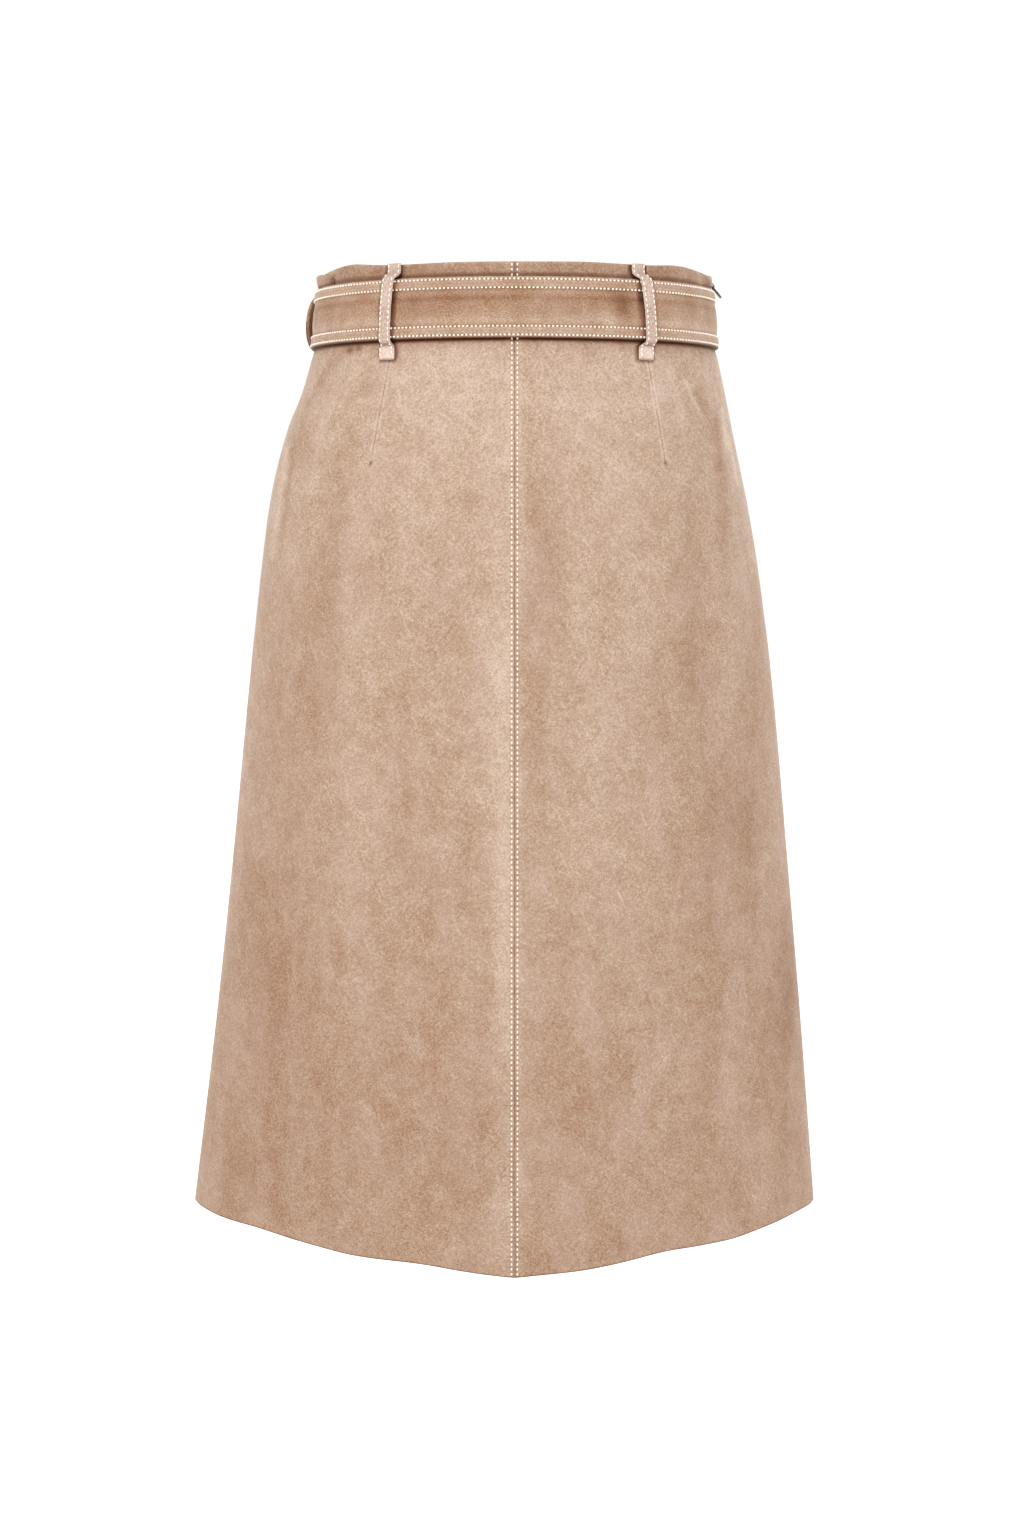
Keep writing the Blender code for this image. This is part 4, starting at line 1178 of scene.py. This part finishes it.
# Each suede's colours on a screen: its painted shadow colour, dark, middle and light nap, and its blush.
SUEDES = {
    "suede": ((70, 36, 20), (142, 103, 76), (172, 145, 123), (206, 186, 170), (192, 167, 158)),
    "belt_suede": ((70, 36, 20), (134, 92, 64), (168, 138, 114), (204, 184, 167), (186, 160, 148)),
    "loop_suede": ((84, 56, 42), (144, 114, 98), (190, 166, 151), (224, 207, 196), (202, 178, 169)),
}
# Brush lines run across the nap: how each set is turned, and how long and wide a line is.
BRUSH_LINES = ((24, (1.6, 34, 1)), (-38, (1.4, 26, 1)), (58, (1.4, 24, 1)))


def suede(name, depth=1.0):
    """Brushed hide: cloudy nap, fine grain, hair-thin brush lines and a dry sheen."""
    shadow, dark, middle, light, rosy = SUEDES[name]
    shader = Shader(name)
    cloth = shader.attribute("cloth", "Vector")
    tone = shader.attribute("tone", "Fac")
    upright = shader.stretched(cloth, 0, (1.0, 2.8, 1.0))
    cloud = shader.noise(upright, 0.022, 3.0, 0.55, 0.4)
    mottle = shader.noise(cloth, 0.075, 4.0, 0.62, 0.3)
    grain = shader.noise(cloth, 0.8, 3.0, 0.6)
    dust = shader.noise(cloth, 1.9, 2.0, 0.6)
    lines = []
    for turn, size in BRUSH_LINES:
        run = shader.noise(shader.stretched(cloth, turn, size), 1.0, 1.0, 0.5, 0.15)
        lines.append(shader.math("MULTIPLY", shader.math("SUBTRACT", run, 0.60, True), 3.2))
    brushed = shader.math("ADD", shader.math("SUBTRACT", lines[0], lines[1]), lines[2])
    mild = shader.add("ShaderNodeClamp", {"Value": tone, "Min": -1.1, "Max": 1.0}).outputs[0]
    total = shader.math("MULTIPLY", mild, 0.42)
    for part, weight in ((cloud, 0.30), (mottle, 0.52), (grain, 1.4), (dust, 1.1)):
        total = shader.weighed(total, (shader.math("SUBTRACT", part, 0.5), weight))
    share = shader.math("ADD", shader.weighed(total, (brushed, 0.3)), 0.5, True)
    colour = shader.ramp(share, ((0.0, dark), (0.5, middle), (1.0, light)))
    blush = shader.noise(upright, 0.045, 4.0, 0.62, 0.5)
    blush = shader.math("MULTIPLY", shader.math("SUBTRACT", blush, 0.42, True), 2.2, True)
    colour = shader.mix(blush, colour, shader.mix(0.42, colour, screen_colour(rosy)))
    # Strongly negative tones, where shade is painted, mix towards the painted shadow colour.
    deep = shader.math("SUBTRACT", shader.math("MULTIPLY", tone, -1.0), 0.75)
    deep = shader.math("MULTIPLY", deep, 0.55, True)
    colour = shader.mix(deep, colour, screen_colour(shadow))
    height = shader.math("MULTIPLY", grain, 0.8)
    height = shader.weighed(height, (dust, 0.4), (mottle, 0.7), (brushed, 0.3))
    bump = shader.bump(height, 0.55 * depth, 0.0004)
    roughness = shader.math("ADD", shader.math("MULTIPLY", mottle, 0.1), 0.85)
    return shader.finish(
        Base_Color=colour,
        Roughness=roughness,
        Specular_IOR_Level=0.12,
        Sheen_Weight=0.22,
        Sheen_Roughness=0.45,
        Sheen_Tint=(1.0, 0.93, 0.86, 1.0),
        Normal=bump,
    )


def thread_finish():
    """Thick cream top-stitching thread, with its twist."""
    shader = Shader("cream_thread")
    place = shader.attribute("cloth", "Vector")
    twist = shader.noise(shader.stretched(place, 40, (1.0, 0.35, 1.0)), 2.6, 2.0, 0.5)
    stops = ((0.25, (226, 212, 194)), (0.5, (244, 235, 222)), (0.75, (253, 248, 240)))
    colour = shader.ramp(twist, stops)
    bump = shader.bump(twist, 0.5, 0.0002)
    return shader.finish(Base_Color=colour, Roughness=0.6, Sheen_Weight=0.2, Normal=bump)


def tape_finish():
    """The zip's fine woven tape."""
    shader = Shader("woven_tape")
    cloth = shader.attribute("cloth", "Vector")
    threads = []
    for way, scale in (("X", 0.42), ("Y", 0.6)):
        inputs = {"Vector": cloth, "Scale": scale, "Distortion": 0.4}
        wave = shader.add("ShaderNodeTexWave", inputs, bands_direction=way)
        threads.append(wave.outputs["Fac"])
    weave = shader.math("MULTIPLY", *threads)
    colour = shader.ramp(weave, ((0.1, (150, 120, 98)), (0.6, (192, 162, 138))))
    bump = shader.bump(weave, 0.6, 0.0002)
    return shader.finish(Base_Color=colour, Roughness=0.85, Normal=bump)


def metal_finish():
    """Dark bronzed metal, rubbed a little lighter in places."""
    shader = Shader("dark_bronze")
    place = shader.add("ShaderNodeTexCoord").outputs["Object"]
    wear = shader.noise(place, 240.0, 4.0, 0.6)
    colour = shader.ramp(wear, ((0.3, (62, 52, 42)), (0.7, (112, 98, 80))))
    roughness = shader.math("ADD", shader.math("MULTIPLY", wear, 0.25), 0.24)
    bump = shader.bump(wear, 0.15, 0.0002)
    return shader.finish(Base_Color=colour, Roughness=roughness, Metallic=1.0, Normal=bump)


def finish_metal(finish):
    """The CAD's hard pieces keep their shape, with softened edges and the bronze finish."""
    for name, width in (("buckle", 0.5), ("zip_slider", 0.2), ("zip_pull", 0.25)):
        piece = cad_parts[name]
        for place in piece.material_slots:
            place.material = finish
        bevel = piece.modifiers.new("soft_edges", "BEVEL")
        bevel.width, bevel.segments, bevel.limit_method = width * MM, 3, "ANGLE"
        bevel.harden_normals = True


# ---- studio
CAMERA_PLACE, CAMERA_PITCH, CAMERA_LENS = (0.0017, 1.55, -0.1697), 6.35, 51.33
FLOOR_DROP = 0.36  # below the hem, where the wearer's feet would be
FLOOR_HALF, FLOOR_GLOW = 12.0, 0.25
WORLD_LIGHT, EXPOSURE = 0.80, 0.36
LIGHT_TARGET, LIGHT_SIZE, LIGHT_COLOUR = (0, 0, -0.3), 1.6, (1.0, 0.98, 0.95)
LIGHTS = table(
    "name place power",
    ("key", (0.5, 1.6, 1.6), 16),
    ("back_fill", (-0.9, -1.6, 1.3), 12),
)


def add_light(light):
    data = bpy.data.lights.new(light.name, "AREA")
    data.shape, data.size, data.energy, data.color = "DISK", LIGHT_SIZE, light.power, LIGHT_COLOUR
    lamp = bpy.data.objects.new(light.name, data)
    bpy.context.scene.collection.objects.link(lamp)
    lamp.location = light.place
    lamp.rotation_euler = (Vector(LIGHT_TARGET) - Vector(light.place)).to_track_quat("-Z", "Y").to_euler()


def build_studio():
    """A pale floor and white surroundings, with a soft light over the camera and one beyond."""
    scene = bpy.context.scene
    scene.view_settings.view_transform = "Standard"
    scene.view_settings.exposure = EXPOSURE
    world = bpy.data.worlds.new("white_studio")
    scene.world = world
    world.use_nodes = True
    background = world.node_tree.nodes["Background"]
    background.inputs["Color"].default_value = (1, 1, 1, 1)
    background.inputs["Strength"].default_value = WORLD_LIGHT

    half, height = FLOOR_HALF, cad_low.z - FLOOR_DROP
    mesh = bpy.data.meshes.new("floor")
    corners = [(-half, -half, height), (half, -half, height), (half, half, height), (-half, half, height)]
    mesh.from_pydata(corners, [], [(0, 1, 2, 3)])
    pale = Shader("pale_floor")
    glow = {"Emission_Color": (1, 1, 1, 1), "Emission_Strength": FLOOR_GLOW}
    mesh.materials.append(pale.finish(Base_Color=(0.9, 0.9, 0.9, 1), Roughness=0.9, **glow))
    floor = bpy.data.objects.new("floor", mesh)
    scene.collection.objects.link(floor)

    for light in LIGHTS:
        add_light(light)

    data = bpy.data.cameras.new("camera")
    data.lens, data.sensor_width, data.sensor_fit = CAMERA_LENS, 36.0, "AUTO"
    camera = bpy.data.objects.new("camera", data)
    scene.collection.objects.link(camera)
    camera.location = CAMERA_PLACE
    camera.rotation_euler = (radians(90 - CAMERA_PITCH), 0, radians(180))
    scene.camera = camera


# ---- the garment
def panel_cut(panel):
    """The panel's cut in metres: its greatest width and length, and its flat area.

    It is measured round the plain form, without folds or turned edges, and not on the mesh.
    """
    angle = np.linspace(panel.start, panel.end, 361)
    share = np.linspace(0, 1, 241)[:, None]
    points = skirt_point(angle, share * hem_height(angle)) * MM
    across, down = np.diff(points, axis=1), np.diff(points, axis=0)
    width = np.linalg.norm(across, axis=2).sum(axis=1).max()
    length = np.linalg.norm(down, axis=2).sum(axis=0).max()
    area = np.linalg.norm(np.cross(across[:-1], down[:, :-1]), axis=2).sum()
    return float(width), float(length), float(area)


def loop_cut(loop):
    """The loop's cut in metres: its greatest width, its length with the folded end, and its area."""
    middle, _, _, width, thick = loop_strap(loop)
    steps = np.linalg.norm(np.diff(middle, axis=0), axis=1) * MM
    layers = np.where(thick[1:] > (LOOP_THICK + LOOP_END_THICK) / 2, 2, 1)
    area = (steps * layers * width[1:]).sum() * MM
    return float(width.max() * MM), float((steps * layers).sum()), float(area)


def main():
    body_suede, strap_suede = suede("suede"), suede("belt_suede")
    pale_suede = suede("loop_suede", depth=0.7)
    thread = thread_finish()
    metal = metal_finish()
    for panel in PANELS:
        piece = build_panel(panel, body_suede)
        width, length, area = panel_cut(panel)
    strap = belt_strap()
    belt = build_belt(strap, strap_suede)
    for loop in LOOPS:
        piece = build_loop(loop, pale_suede)
        width, length, area = loop_cut(loop)
    tape = build_tape(tape_finish())
    build_teeth(metal)
    belt_stitches(strap, thread)
    seam_stitches(thread)
    loop_stitches(thread)
    finish_metal(metal)
    build_studio()


main()
